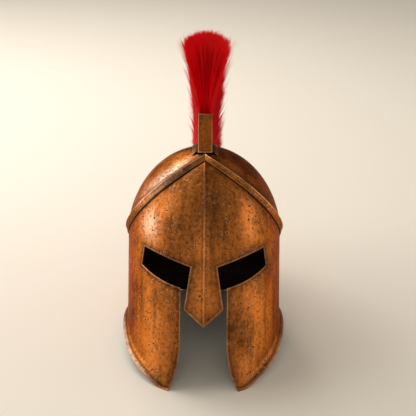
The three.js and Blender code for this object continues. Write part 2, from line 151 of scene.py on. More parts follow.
# Turn from the face in degrees, against: the ridge's lift up the dome; the hem's rise as a share of the neck hem's
# height; the lip's turn-out at the sides and towards the neck, as shares
RIDGE_LINE = ((0, 58.7), (15, 49.5), (26.5, 41.8), (37, 34.6), (53, 23.8), (72, 13.2), (90, 6.4), (125, 0), (180, -2.5))
HEM_LINE = (
    (0, 0), (26, 0), (32, 0.03), (46, 0.185), (63, 0.37), (78, 0.58), (92, 0.72), (106, 0.825), (130, 0.93), (180, 1),
)  # fmt: skip
SIDE_LIP_LINE = ((0, 0.35), (26, 0.5), (46, 0.86), (70, 0.97), (90, 1), (110, 1), (140, 1), (180, 1))
NECK_LIP_LINE = ((0, 0), (26, 0), (46, 0), (70, 0), (90, 0), (110, 0.15), (140, 0.55), (180, 1))

# Colours that the finishes add, among them painted shade and painted highlights, and the three sorts of pits: cells to
# the metre, a pit's size as a share of its cell, and how rare the patches with pits are
WORN_COLOUR = (0.9, 0.5, 0.26, 1)
SHADE_AND_GRIME_COLOUR = (0.012, 0.007, 0.004, 1)
PIT_COLOUR = (0.004, 0.003, 0.002, 1)
PIT_RIM_HIGHLIGHT_COLOUR = (0.85, 0.5, 0.28, 1)
# The inside colour is painted shade: near-black on every inner face
INSIDE_SHADE_COLOUR = (0.004, 0.003, 0.0025, 1)
HAIR_TIP_HIGHLIGHT_COLOUR = (1.0, 0.09, 0.1, 1)
HAIR_ROOT_SHADE_COLOUR = (0.12, 0.0, 0.004, 1)
ROOM_COLOUR = (1.0, 0.93, 0.82, 1)
PIT_SORTS = ((115.0, 0.19, 0.47), (210.0, 0.26, 0.47), (60.0, 0.095, 0.45))

# The lights: name, setting of the power, size, place in the upright helmet's frame, and colour, in metres
LIGHTS = (
    ("Top Light", "top_power", (1.1, 1.1), (-0.6, 0.5, 2.0), (1, 0.97, 0.93)),
    ("Front Light", "front_power", (1.9, 1.0), (0.0, -2.6, 0.6), (1, 0.95, 0.88)),
    ("Left Box", "left_power", (2.7, 2.4), (-1.75, 0.3, 1.12), (1, 0.96, 0.92)),
    ("Right Box", "right_power", (1.4, 1.2), (1.8, -0.1, 0.62), (1, 0.94, 0.86)),
)
FLOOR_REACH = 60.0


def length_setting(name, description, default, **limits):
    """A setting in metres."""
    return bpy.props.FloatProperty(name=name, description=description, default=default, unit="LENGTH", **limits)


def angle_setting(name, description, degrees):
    """A setting that is an angle, with its default given in degrees."""
    return bpy.props.FloatProperty(name=name, description=description, default=math.radians(degrees), subtype="ANGLE")


def number_setting(name, description, default, **limits):
    """A setting without a unit."""
    return bpy.props.FloatProperty(name=name, description=description, default=default, **limits)


def count_setting(name, description, default, **limits):
    """A setting that is a whole number."""
    return bpy.props.IntProperty(name=name, description=description, default=default, **limits)


def colour_setting(name, description, red, green, blue):
    """A setting that is an opaque colour."""
    return bpy.props.FloatVectorProperty(
        name=name, description=description, default=(red, green, blue, 1), subtype="COLOR", size=4, min=0, max=1
    )


class HelmetShape(bpy.types.PropertyGroup):
    """How finely the sheets are drawn, and how their edges are finished."""

    grain: length_setting("Mask Grain", "Size of the mask's faces", 0.00165, min=0.0012, max=0.01)
    skull_columns: count_setting("Skull Columns", "Sections of the skull cap round the head", 360, min=48, max=720)
    bead: length_setting("Edge Bead", "How far the rim of the face opening stands up", 0.0004, min=0)
    wear_width: length_setting("Wear Width", "Width of the bright line along an edge", 0.0006, min=0.0001)
    patina_width: length_setting("Patina Width", "Width of the dark band beside an edge", 0.009, min=0.0001)


class HelmetHair(bpy.types.PropertyGroup):
    """The plume's bristles."""

    strands: count_setting("Strands", "Bristles in each of the plume's bunches", 3900, min=10, max=5000)
    bunches: count_setting("Bunches", "Pieces that the plume is made in, from front to back", 5, min=1, max=8)
    strand_radius: length_setting("Strand Radius", "Half the thickness of a bristle at its middle", 0.00036)
    front_length: length_setting("Front Length", "Bristle length at the front", 0.088)
    crown_length: length_setting("Crown Length", "Bristle length over the crown", 0.1215)
    back_length: length_setting("Back Length", "Bristle length at the back", 0.092)
    root_half_width: length_setting("Root Half Width", "Half the width of the hair at the mouth", 0.0054)
    front_half_width: length_setting("Front Half Width", "Half the width of the hair's tips at the front", 0.029)
    back_half_width: length_setting("Back Half Width", "Half the width of the hair's tips at the back", 0.0225)
    sway: length_setting("Sway", "How far the hair at the back leans to one side", 0.0045)
    front_lean: angle_setting("Front Lean", "Direction of the front hair", -9)
    back_lean: angle_setting("Back Lean", "Direction of the back hair", 90)
    seed: count_setting("Seed", "Seed of the hair's disorder", 11)


class HelmetFinish(bpy.types.PropertyGroup):
    """The colours of the metal, the hair and the floor."""

    bronze_bright: colour_setting("Bright Bronze", "The sheets at their brightest", 0.77, 0.236, 0.043)
    bronze_middle: colour_setting("Middle Bronze", "The sheets where they are browned", 0.42, 0.124, 0.022)
    # The dark tones also colour painted shade: below the ridge, over the brow and in the channel's slot
    bronze_dark: colour_setting("Dark Bronze", "The patina on the sheets", 0.045, 0.019, 0.007)
    # The pale patches are painted highlights on the side that the large left light reaches
    rubbed: colour_setting("Painted Highlight Bronze", "The patches that are rubbed pale", 0.95, 0.66, 0.48)
    channel_bright: colour_setting("Bright Channel", "The channel at its brightest", 0.22, 0.056, 0.005)
    channel_middle: colour_setting("Middle Channel", "The channel where it is browned", 0.14, 0.034, 0.003)
    channel_dark: colour_setting("Dark Channel", "The patina on the channel", 0.035, 0.015, 0.004)
    hair_dark: colour_setting("Dark Hair", "The deepest red of a bristle", 0.5, 0.0, 0.001)
    hair_bright: colour_setting("Bright Hair", "The brightest red of a bristle", 1.0, 0.0, 0.004)
    floor: colour_setting("Floor", "The pale ground", 0.86, 0.8, 0.7)


class HelmetStage(bpy.types.PropertyGroup):
    """The floor, the lights and the camera."""

    camera_distance: length_setting("Camera Distance", "From the camera to the helmet's middle", 1.5)
    camera_height: length_setting("Camera Height", "Height of the view's middle on the upright helmet", 0.229)
    camera_roll: angle_setting("Camera Roll", "Tilt of the camera to the side", 0.55)
    lens: number_setting("Lens", "Focal length in millimetres", 96.15, min=1)
    shift: number_setting("Shift", "Sideways shift of the view", 0.0084)
    top_power: number_setting("Top Light", "Power of the light from above", 20, min=0)
    front_power: number_setting("Front Light", "Power of the wide light behind the camera", 9.5, min=0)
    left_power: number_setting("Left Box", "Power of the large light on the camera's left", 38, min=0)
    right_power: number_setting("Right Box", "Power of the light on the camera's right", 6.5, min=0)
    world_strength: number_setting("World", "Strength of the room light", 0.3, min=0)


def follow(rows, turn):
    """Reads a table of (turn, value) smoothly at an array of turns."""
    knots = np.array([r[0] for r in rows], float)
    values = np.array([r[1] for r in rows], float)
    at = np.abs(np.asarray(turn, float))
    last = len(rows) - 1
    i = np.clip(np.searchsorted(knots, at, side="right") - 1, 0, last - 1)
    before = np.maximum(i - 1, 0)
    after = np.minimum(i + 2, last)
    span = knots[i + 1] - knots[i]
    start_slope = (values[i + 1] - values[before]) / (knots[i + 1] - knots[before]) * span
    end_slope = (values[after] - values[i]) / (knots[after] - knots[i]) * span
    t = np.clip((at - knots[i]) / span, 0, 1)
    rise = values[i + 1] - values[i]
    return (
        values[i]
        + t * start_slope
        + t**2 * (3 * rise - 2 * start_slope - end_slope)
        + t**3 * (start_slope + end_slope - 2 * rise)
    )


def smoothstep(x, low, high):
    """Rises smoothly from 0 at low to 1 at high."""
    t = np.clip((x - low) / (high - low), 0, 1)
    return t * t * (3 - 2 * t)


def peak(x, middle, width):
    """A smooth hill that is 1 at its middle."""
    return np.exp(-(((x - middle) / width) ** 2))


def halve(short, low, high):
    """The value between low and high up to which short(value) holds, for numbers or arrays."""
    for _ in range(HALVINGS):
        middle = (low + high) / 2
        below = short(middle)
        low, high = np.where(below, middle, low), np.where(below, high, middle)
    return (low + high) / 2


def bowl(turn, lift, out):
    """Points of the bowl in the upright helmet's frame: turn and lift in degrees, out is the distance outside it."""
    turn, lift, out = np.broadcast_arrays(*(np.asarray(a, float) for a in (turn, lift, out)))
    t = np.radians(turn)
    raised = np.radians(lift)
    on_dome = lift > 0
    shrink = np.where(on_dome, np.cos(raised), 1.0)
    reach = np.where(np.cos(t) > 0, BROW_REACH, BACK_REACH)
    rise = DOME_RISE * np.where(on_dome, np.sin(raised), raised)
    x = TEMPLE_HALF_WIDTH * shrink * np.sin(t)
    y = -reach * shrink * np.cos(t)
    normal = np.stack([x / TEMPLE_HALF_WIDTH**2, y / reach**2, np.where(on_dome, rise / DOME_RISE**2, 0)], -1)
    normal /= np.linalg.norm(normal, axis=-1, keepdims=True)
    return np.stack([x, y, rise + WALL_TOP], -1) + normal * out[..., None]


def lift_of_height(height):
    return np.degrees((np.asarray(height, float) - WALL_TOP) / DOME_RISE)


def height_of_lift(lift):
    return WALL_TOP + DOME_RISE * np.radians(lift)


def lift_of_length(length):
    return math.degrees(length / DOME_RISE)


def ridge_lift(turn):
    return follow(RIDGE_LINE, turn)


def hem_height(turn):
    return NECK_HEM_HEIGHT * follow(HEM_LINE, turn)


def hem_lip(turn):
    return SIDE_LIP * follow(SIDE_LIP_LINE, turn) + (NECK_FLARE - SIDE_LIP) * follow(NECK_LIP_LINE, turn)


def hem_lip_depth(turn):
    return SIDE_LIP_DEPTH + (NECK_LIP_DEPTH - SIDE_LIP_DEPTH) * follow(NECK_LIP_LINE, turn)


def mask_out(turn, lift):
    """How far the mask stands off the bowl: the keel, the turned lip and the waist at the nape."""
    t = np.radians(turn)
    height = height_of_lift(lift)
    across = np.abs(TEMPLE_HALF_WIDTH * np.sin(t))
    facing = np.where(np.cos(t) > 0, np.maximum(0, 1 - across / KEEL_HALF_WIDTH), 0)
    keel = KEEL_PROUD * facing * (1 - 0.8 * smoothstep(lift, 0, float(ridge_lift(0))))
    lip = hem_lip(turn) * np.maximum(0, 1 - (height - hem_height(turn)) / hem_lip_depth(turn)) ** 2
    behind = np.maximum(0, -np.cos(t)) ** 1.5
    up_nape = np.clip((height - NECK_HEM_HEIGHT) / (WALL_TOP - NECK_HEM_HEIGHT), 0, 1)
    return keel + lip - NECK_PINCH * behind * np.sin(math.pi * up_nape) ** 2


def on_mask(flat, out=0.0):
    """Points off the mask's plain outside by out millimetres, from rows of (turn, height)."""
    turn, lift = flat[:, 0], lift_of_height(flat[:, 1])
    return bowl(turn, lift, mask_out(turn, lift) + out)


def lean_angle():
    """How far the helmet leans back, from the cheek tips to the hem of the neck guard."""
    tip_turn = math.degrees(math.asin(TIP[0] / TEMPLE_HALF_WIDTH))
    tip = bowl(tip_turn, lift_of_height(0), hem_lip(tip_turn) - SHEET / 2)
    hem = bowl(180, lift_of_height(NECK_HEM_HEIGHT), NECK_FLARE)
    return math.atan2(hem[2] - tip[2], hem[1] - tip[1])


def frame_matrix():
    """From the upright helmet's frame in millimetres to the row frame in metres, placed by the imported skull's crown."""
    turn_back = Matrix.Rotation(-lean_angle(), 4, "X")
    upward = turn_back @ Vector((0, 0, 1))
    skull = bpy.data.objects["skull_cap"]
    crown = max((v.co for v in skull.data.vertices), key=lambda co: co.dot(upward))
    offset = Vector((0, crown.y, crown.z)) - turn_back @ Vector((0, 0, (WALL_TOP + DOME_RISE + SHEET) * MM))
    return Matrix.Translation(offset) @ turn_back @ Matrix.Scale(MM, 4)


def to_row(points):
    """Upright millimetres to row-frame metres."""
    m = np.array(frame_matrix())
    return np.asarray(points, float) @ m[:3, :3].T + m[:3, 3]


def add_object(name, data):
    """A new object at the origin, put in the scene."""
    obj = bpy.data.objects.new(name, data)
    bpy.context.scene.collection.objects.link(obj)
    return obj


def set_attribute(mesh, key, values, kind="FLOAT"):
    """Stores a number or a vector for each point of a mesh."""
    layer = mesh.attributes.new(key, kind, "POINT")
    layer.data.foreach_set("value" if kind == "FLOAT" else "vector", np.asarray(values, np.float32).ravel())


def make_object(name, points, faces, attributes, smooth_angle=40):
    """A mesh object at the origin. points are in row-frame metres; attributes are one number for each point."""
    mesh = bpy.data.meshes.new(name)
    mesh.from_pydata([tuple(p) for p in points], [], [tuple(f) for f in faces])
    for key, values in attributes.items():
        set_attribute(mesh, key, values)
    mesh.validate()
    mesh.update()
    obj = add_object(name, mesh)
    bpy.context.view_layer.objects.active = obj
    for other in bpy.context.selected_objects:
        other.select_set(False)
    obj.select_set(True)
    bpy.ops.object.shade_smooth_by_angle(angle=math.radians(smooth_angle))
    obj.select_set(False)
    return obj


def tube_faces(rings, sides, first=0, inverted=False):
    """Faces of a closed tube of equal rings of points, with its two ends. first is the index of its first point."""
    faces = []
    for r in range(rings - 1):
        for k in range(sides):
            m = (k + 1) % sides
            faces.append([r * sides + k, r * sides + m, (r + 1) * sides + m, (r + 1) * sides + k])
    faces.append(list(range(sides))[::-1])
    faces.append([(rings - 1) * sides + k for k in range(sides)])
    return [[first + i for i in (face[::-1] if inverted else face)] for face in faces]


def quadratic(start, pull, end, steps):
    """Points of a curve that is pulled towards a point, without its start."""
    t = np.linspace(0, 1, steps + 1)[1:, None]
    a, b, c = (np.array(p, float) for p in (start, pull, end))
    return (1 - t) ** 2 * a + 2 * t * (1 - t) * b + t**2 * c


def straight(start, end, steps):
    """Points of a straight line, without its start."""
    t = np.linspace(0, 1, steps + 1)[1:, None]
    a, b = np.array(start, float), np.array(end, float)
    return a + (b - a) * t


def opening_path(grain):
    """The face opening's outline in front view, from the left cheek tip up over the face to the right one."""

    def steps(a, b):
        return max(2, round(math.dist(a, b) / grain))

    left = np.concatenate(
        [
            np.array([TIP], float),
            quadratic(TIP, TIP_PULL, GAP_FOOT, steps(TIP, GAP_FOOT)),
            straight(GAP_FOOT, CHEEK_CORNER, steps(GAP_FOOT, CHEEK_CORNER)),
            quadratic(CHEEK_CORNER, EYE_FOOT_PULL, EYE_OUTER_FOOT, steps(CHEEK_CORNER, EYE_OUTER_FOOT) + 6),
            straight(EYE_OUTER_FOOT, EYE_OUTER_TOP, steps(EYE_OUTER_FOOT, EYE_OUTER_TOP)),
            quadratic(EYE_OUTER_TOP, EYE_TOP_PULL, NASAL_ROOT, steps(EYE_OUTER_TOP, NASAL_ROOT) + 4),
            straight(NASAL_ROOT, NASAL_SHOULDER, steps(NASAL_ROOT, NASAL_SHOULDER)),
            straight(NASAL_SHOULDER, NASAL_POINT, steps(NASAL_SHOULDER, NASAL_POINT)),
        ]
    )
    return np.concatenate([left, left[:-1][::-1] * (-1, 1)])


def turn_of_front(across, height):
    """The turn at which the mask's outside has that distance across in front view."""
    lift = lift_of_height(height)
    goal = np.abs(across)

    def short(turn):
        return bowl(turn, lift, mask_out(turn, lift))[:, 0] < goal

    return np.sign(across) * halve(short, np.zeros_like(goal), np.full_like(goal, WIDEST_TURN))


def inside_polygon(points, polygon):
    """Which of the points lie inside a closed outline, by counting its crossings."""
    x, y = points[:, 0], points[:, 1]
    inside = np.zeros(len(points), bool)
    previous = polygon[-1]
    for corner in polygon:
        crosses = (corner[1] > y) != (previous[1] > y)
        slope = (previous[0] - corner[0]) / ((previous[1] - corner[1]) or 1e-12)
        inside ^= crosses & (x < slope * (y - corner[1]) + corner[0])
        previous = corner
    return inside


def distance_to(goals, points):
    """Distance from each point to the nearest of the goals."""
    tree = KDTree(len(goals))
    for i, p in enumerate(goals):
        tree.insert(p, i)
    tree.balance()
    return np.array([tree.find(p)[2] for p in points])


def mask_outline(grain, turns, turn_step):
    """The mask's outline laid flat, as rows of (turn, height), and its parts at the face opening and the hem."""
    path = opening_path(grain)
    opening = np.stack([turn_of_front(path[:, 0], path[:, 1]), path[:, 1]], -1)
    top = np.stack([turns, height_of_lift(ridge_lift(turns) + lift_of_length(MASK_TUCK))], -1)
    hem_turns = turns[np.abs(turns) > opening[0, 0] + turn_step * 0.4]
    hem = np.stack([hem_turns, hem_height(hem_turns)], -1)
    seam_low, seam_high = hem[-1, 1], top[-1, 1]
    seam = np.linspace(seam_low, seam_high, round((seam_high - seam_low) / grain) + 1)[1:-1]
    # The right hem towards the face, the opening, the left hem to the back, up the seam, round the top, down the seam
    outline = np.concatenate(
        [
            hem[hem[:, 0] < 0],
            opening[::-1],
            hem[hem[:, 0] > 0],
            np.stack([np.full(len(seam), 180.0), seam], -1),
            top[::-1],
            np.stack([np.full(len(seam), -180.0), seam[::-1]], -1),
        ]
    )
    return outline, opening, hem


def mask_net(grain):
    """The mask laid flat as a net: rows of (turn, height), its triangles, and the rows of the opening and the hem."""
    per_turn = math.radians(1) * TEMPLE_HALF_WIDTH
    turn_step = 180 / round(180 * per_turn / grain)
    turns = np.arange(-180, 180 + turn_step / 2, turn_step)
    outline, opening, hem = mask_outline(grain, turns, turn_step)
    grid = []
    for k, height in enumerate(np.arange(0, outline[:, 1].max(), grain * NET_ROW)):
        line = turns + (0.5 * turn_step if k % 2 else 0.0)
        line = line[np.abs(line) < 180 - turn_step * 0.4]
        if k % 2:
            # A staggered row has one point in the middle instead of the two beside it
            line = np.append(line[np.abs(line) > turn_step * 0.6], 0.0)
        grid.append(np.stack([line, np.full(len(line), height)], -1))
    grid = np.concatenate(grid)
    scale = np.array([per_turn, 1.0])
    grid = grid[inside_polygon(grid * scale, outline * scale)]
    clearance = distance_to([(*p, 0) for p in outline * scale], [(*p, 0) for p in grid * scale])
    domain = np.concatenate([outline, grid[clearance > NET_CLEARANCE * grain]])
    verts, _, faces, *_ = geometry.delaunay_2d_cdt(
        [Vector(p) for p in domain * scale], [], [list(range(len(outline)))], 1, 1e-5
    )
    flat = np.array([tuple(v) for v in verts]) / scale
    flat[np.abs(flat[:, 0]) < 1e-4, 0] = 0.0
    # The two sides of the seam become one
    weld = np.arange(len(flat))
    seam = {round(flat[i, 1], 3): i for i in np.where(flat[:, 0] > 179.999)[0]}
    for i in np.where(flat[:, 0] < -179.999)[0]:
        weld[i] = seam[round(flat[i, 1], 3)]
    used, index = np.unique([[weld[a] for a in f] for f in faces if len(f) == 3], return_inverse=True)
    return flat[used], index.reshape(-1, 3), opening, hem


def closed_sheet(outside, within, faces):
    """A sheet from its outer and inner face, closed by a rounded rim: points, faces and how many points edge it."""
    count = len(outside)
    edges = np.concatenate([faces[:, [0, 1]], faces[:, [1, 2]], faces[:, [2, 0]]])
    third = np.concatenate([faces[:, 2], faces[:, 0], faces[:, 1]])
    _, first, counts = np.unique(np.sort(edges, axis=1), axis=0, return_index=True, return_counts=True)
    open_edges = edges[first[counts == 1]]
    opposite = third[first[counts == 1]]
    # Which way the rim bulges, away from the triangles that it edges
    push = np.zeros_like(outside)
    for k in (0, 1):
        along = outside[open_edges[:, 1]] - outside[open_edges[:, 0]]
        along /= np.linalg.norm(along, axis=1, keepdims=True)
        away = outside[open_edges[:, 0]] - outside[opposite]
        away -= along * (away * along).sum(1, keepdims=True)
        away /= np.linalg.norm(away, axis=1, keepdims=True)
        np.add.at(push, open_edges[:, k], away)
    rim = np.unique(open_edges)
    push[rim] /= np.maximum(np.linalg.norm(push[rim], axis=1, keepdims=True), 1e-9)
    rim_index = np.full(count, -1)
    rim_index[rim] = np.arange(len(rim))
    rings = []
    for share in (0.22, 0.5, 0.78):
        bulge = 0.4 * SHEET * math.sin(math.pi * share) ** 0.6
        rings.append(outside[rim] + (within[rim] - outside[rim]) * share + push[rim] * bulge)
    closed = [*faces.tolist(), *(faces[:, ::-1] + count).tolist()]
    # Where each point of the outer face has its like, level by level through the rim to the inner face
    levels = [np.arange(count)]
    levels += [2 * count + k * len(rim) + rim_index for k in range(len(rings))]
    levels.append(count + np.arange(count))
    p, q = open_edges.T
    for upper, lower in zip(levels, levels[1:]):
        closed += np.stack([upper[q], upper[p], lower[p], lower[q]], -1).tolist()
    return np.concatenate([outside, within, *rings]), closed, len(rings) * len(rim)


def mask_sheet(shape):
    """The face mask as points, faces and finish masks."""
    flat, faces, opening, hem = mask_net(shape.grain / MM)
    turn, height = flat[:, 0], flat[:, 1]
    surface = on_mask(flat)
    to_opening = distance_to(on_mask(opening), surface)
    to_rim = np.minimum(to_opening, distance_to(on_mask(hem), surface))
    across = np.abs(surface[:, 0])
    facing = np.cos(np.radians(turn)) > 0
    above_hem = height - hem_height(turn)
    lip_width = TURNED_SHARE * hem_lip_depth(turn)
    relief = (
        shape.bead / MM * np.maximum(0, 1 - to_opening / BEAD_REACH) ** 2
        + RIB_HEIGHT * peak(across, 0, RIB_HALF_WIDTH) * facing
        - GROOVE_DEPTH * peak(above_hem, lip_width, GROOVE_HALF_WIDTH)
    )
    outside = on_mask(flat, relief)
    # Outward faces point away from the head's axis
    a, b, c = (outside[faces[:, k]] for k in range(3))
    flip = (np.cross(b - a, c - a) * (a + b + c) * (1, 1, 0)).sum(1) < 0
    faces[flip] = faces[flip][:, ::-1]
    points, closed, edging = closed_sheet(outside, on_mask(flat, relief - SHEET), faces)
    below_ridge = np.maximum(0, height_of_lift(ridge_lift(turn)) - RIDGE_BAND - height)
    on_lip = smoothstep(-above_hem, 0.4 - lip_width, 1.6 - lip_width)
    wear = (0.35 * peak(to_rim, 0, shape.wear_width / MM), 0.25 * on_lip, 0.15 * peak(across, 0, 0.8) * facing)
    # Patina along the edges; painted shade below the ridge and over the middle of the brow
    patina = (
        np.exp(-((to_rim / (shape.patina_width / MM)) ** 1.5)),
        np.exp(-below_ridge / 15),
        peak(across, 0, 36) * smoothstep(height, 165, 215) * facing,
    )
    # Painted shade: a dark crease above the turned lip, dark lines beside the keel's rib and beside the bead of the
    # opening, and a dark line under the ridge
    grime = (
        0.95 * peak(above_hem, lip_width + 0.5, 1.6),
        0.4 * peak(across, 2.6, 1.2) * facing,
        0.6 * peak(to_opening, 2.6, 0.9),
        np.exp(-below_ridge / 1.6),
    )
    # Painted highlights: pale patches high on the wearer's right of the mask and along the lip on that side, where the
    # large left light reflects
    rubbed = (
        0.7 * peak(surface[:, 0], -69, 9) * peak(height, 208, 19) * facing,
        on_lip * (surface[:, 0] < 0) * peak(height, 52, 36) * facing,
    )
    # Each finish on the outer face, on the inner one and on the rim
    finishes = {
        "wear": (np.maximum.reduce(wear), 0, 0.3),
        "patina": (np.maximum.reduce(patina), 0, 0.2),
        "grime": (np.maximum.reduce(grime), 0, 0.3),
        "inside": (0, 1, 0),
        "rubbed": (np.maximum.reduce(rubbed), 0, 0),
    }
    counts = (len(outside), len(outside), edging)
    masks = {
        key: np.concatenate([np.broadcast_to(value, count) for value, count in zip(values, counts)])
        for key, values in finishes.items()
    }
    return points, closed, masks


def skull_rows(turns):
    """The skull cap's rows from the crown out, round the folded ridge and back inside: lift, out, wear and darkness."""
    crest = ridge_lift(turns)
    sweep_top = crest + lift_of_length(RIDGE_SWEEP)
    fold = crest - lift_of_length(RIDGE_BAND)
    rim = SEAM_GAP + mask_out(turns, fold)
    level = 0 * turns

    def sweep(share):
        return crest + lift_of_length(RIDGE_SWEEP * share), SHEET + (RIDGE_PROUD - SHEET) * (1 - share) ** 2

    rows = [(90 + (sweep_top - 90) * s, SHEET + level, 0, 0) for s in np.linspace(0, 1, 44)[1:]]
    rows += [(*sweep(s), 0, 0.25 * (1 - s)) for s in np.linspace(1, 0, 15)[1:-1]]
    rows += [
        (crest + lift_of_length(0.5), RIDGE_PROUD - 0.1 + level, 1, 0),
        (crest + lift_of_length(0.1), RIDGE_PROUD - 0.05 + level, 1, 0),
        (crest - lift_of_length(0.35), RIDGE_PROUD - 0.35 + level, 1, 0),
    ]
    for s in (0.1, 0.22, 0.4, 0.6, 0.8, 0.95):
        # The band below the crest is slightly hollow
        hollow = 0.5 * math.sin(math.pi * s)
        out = RIDGE_PROUD + (rim + SHEET - RIDGE_PROUD) * s - hollow
        rows.append((crest - lift_of_length(RIDGE_BAND * s), out, 0, 0.1 + 0.9 * s**2))
    rows += [
        (fold - lift_of_length(0.2), rim + SHEET * 0.8, 0.5, 0.6),
        (fold - lift_of_length(0.3), rim + SHEET * 0.5, 0.2, 0.8),
        (fold, rim, 0, 1),
        (crest - lift_of_length(SHEET / 3), RIDGE_PROUD - SHEET + level, 0, 1),
    ]
    rows += [(sweep(s)[0], sweep(s)[1] - SHEET, 0, 1) for s in (0.15, 0.35, 0.6, 0.8)]
    rows += [(90 + (sweep_top - 90) * s, level, 0, 1) for s in np.linspace(1, 0, 30)[:-1]]
    return rows


def skull_sheet(shape):
    """The skull cap as points, faces and finish masks."""
    turns = np.linspace(-180, 180, shape.skull_columns + 1)[:-1]
    # Two more columns beside the middle keep the ridge's peak sharp
    turns = np.sort(np.append(turns, [-0.35, 0.35]))
    width = len(turns)
    rows = skull_rows(turns)
    points = np.concatenate([*(bowl(turns, lift, out) for lift, out, _, _ in rows), bowl([0, 0], [90, 90], [SHEET, 0])])
    top, under = len(points) - 2, len(points) - 1
    faces = []
    for i in range(width):
        j = (i + 1) % width
        faces.append([top, i, j])
        for r in range(len(rows) - 1):
            a, b = r * width, (r + 1) * width
            faces.append([a + i, b + i, b + j, a + j])
        last = (len(rows) - 1) * width
        faces.append([last + i, under, last + j])
    wear, patina = (np.repeat([row[k] for row in rows], width) for k in (2, 3))
    fold = next(i for i, row in enumerate(rows) if row[3] == 1)
    inside = np.repeat([float(i > fold) for i in range(len(rows))], width)
    above_crest = np.concatenate([(lift - ridge_lift(turns)) * math.radians(1) * DOME_RISE for lift, *_ in rows])
    x, y, z = points[:-2].T
    facing = (y < 0) * (1 - inside)
    # A painted highlight: a pale patch on the wearer's right of the dome just above the ridge, where the large left
    # light reflects
    rubbed = peak(x, -50, 28) * peak(above_crest, 13, 18) * facing
    # Darker in a band beside the channel's skirts
    beside_channel = 0.7 * peak(np.abs(x), SKIRT_HALF_WIDTH, 15) * facing
    # Painted shade in the hollow of the sweep above the ridge, away from the painted highlight
    at_sweep = 0.375 * peak(above_crest, RIDGE_SWEEP * 0.75, 4) * (1 - inside) * (1 - rubbed)
    # Painted shade: the skull is dark under the channel's skirts
    under_channel = (np.abs(x) < SKIRT_HALF_WIDTH - 1) & (y > CHANNEL_FRONT + 1.5) & (z > WALL_TOP)
    masks = {
        "wear": np.append(wear, [0, 0]),
        "patina": np.append(np.maximum(patina, 0.25 + beside_channel), [0.25, 1]),
        "grime": np.append(np.maximum(at_sweep, under_channel), [1, 1]),
        "inside": np.append(inside, [0, 1]),
        "rubbed": np.append(rubbed, [0, 0]),
    }
    return points, faces, masks


def skull_radius(angle):
    """Distance from the crest's centre to the skull's outside, in side view, at an angle from upright."""
    a = np.radians(angle)
    reach = np.where(np.asarray(angle) < 0, BROW_REACH, BACK_REACH) + SHEET
    return 1 / np.hypot(np.sin(a) / reach, np.cos(a) / (DOME_RISE + SHEET))


def channel_height(angle):
    """Height of the channel's walls above the skull."""
    share = np.clip((np.asarray(angle, float) - CREST_FRONT_ANGLE) / (CHANNEL_BACK_ANGLE - CREST_FRONT_ANGLE), 0, 1)
    return CHANNEL_FRONT_HEIGHT + (CHANNEL_BACK_HEIGHT - CHANNEL_FRONT_HEIGHT) * share**0.75


def crest_point(angle, height):
    """Depth and height of a point of the crest in side view."""
    radius = skull_radius(angle) + height
    a = np.radians(angle)
    return radius * np.sin(a), WALL_TOP + radius * np.cos(a)


def front_angle(height, depth):
    """The angle at which a line that far above the skull meets an upright plane at a depth."""
    return float(halve(lambda angle: crest_point(angle, height)[0] < depth, -60.0, 0.0))


def channel_section():
    """The channel's section as (across, height above the skull, share of the wall's height), round its outline."""
    half, skirt = CHANNEL_HALF_WIDTH, SKIRT_HALF_WIDTH
    slot = half - CHANNEL_SHEET
    top = CHANNEL_FLOOR + CHANNEL_SHEET
    sag = DOME_RISE * (1 - math.sqrt(1 - (skirt / TEMPLE_HALF_WIDTH) ** 2))
    bevel = 0.28
    # From the middle of the slot's floor up the wall, down its outside, out over the skirt and back under it
    left = [
        (0, top, 0), (slot - 0.2, top, 0), (slot, top + 0.2, 0),
        (slot, 0, 0.97), (slot, 0, 1), (slot + bevel, bevel, 1),
        (half - bevel, bevel, 1), (half, 0, 1), (half, 0, 0.97), (half, top + 0.6, 0),
        (half + 0.5, top - 0.25, 0), (skirt - 0.2, -sag + 1.7, 0), (skirt + 0.2, -sag + 1.3, 0),
        (skirt - 0.3, -sag + 1.0, 0), (half + 0.2, CHANNEL_FLOOR + 0.2, 0), (half - 0.8, CHANNEL_FLOOR, 0),
    ]  # fmt: skip
    return left + [(0, CHANNEL_FLOOR, 0)] + [(-x, h, w) for x, h, w in left[:0:-1]]


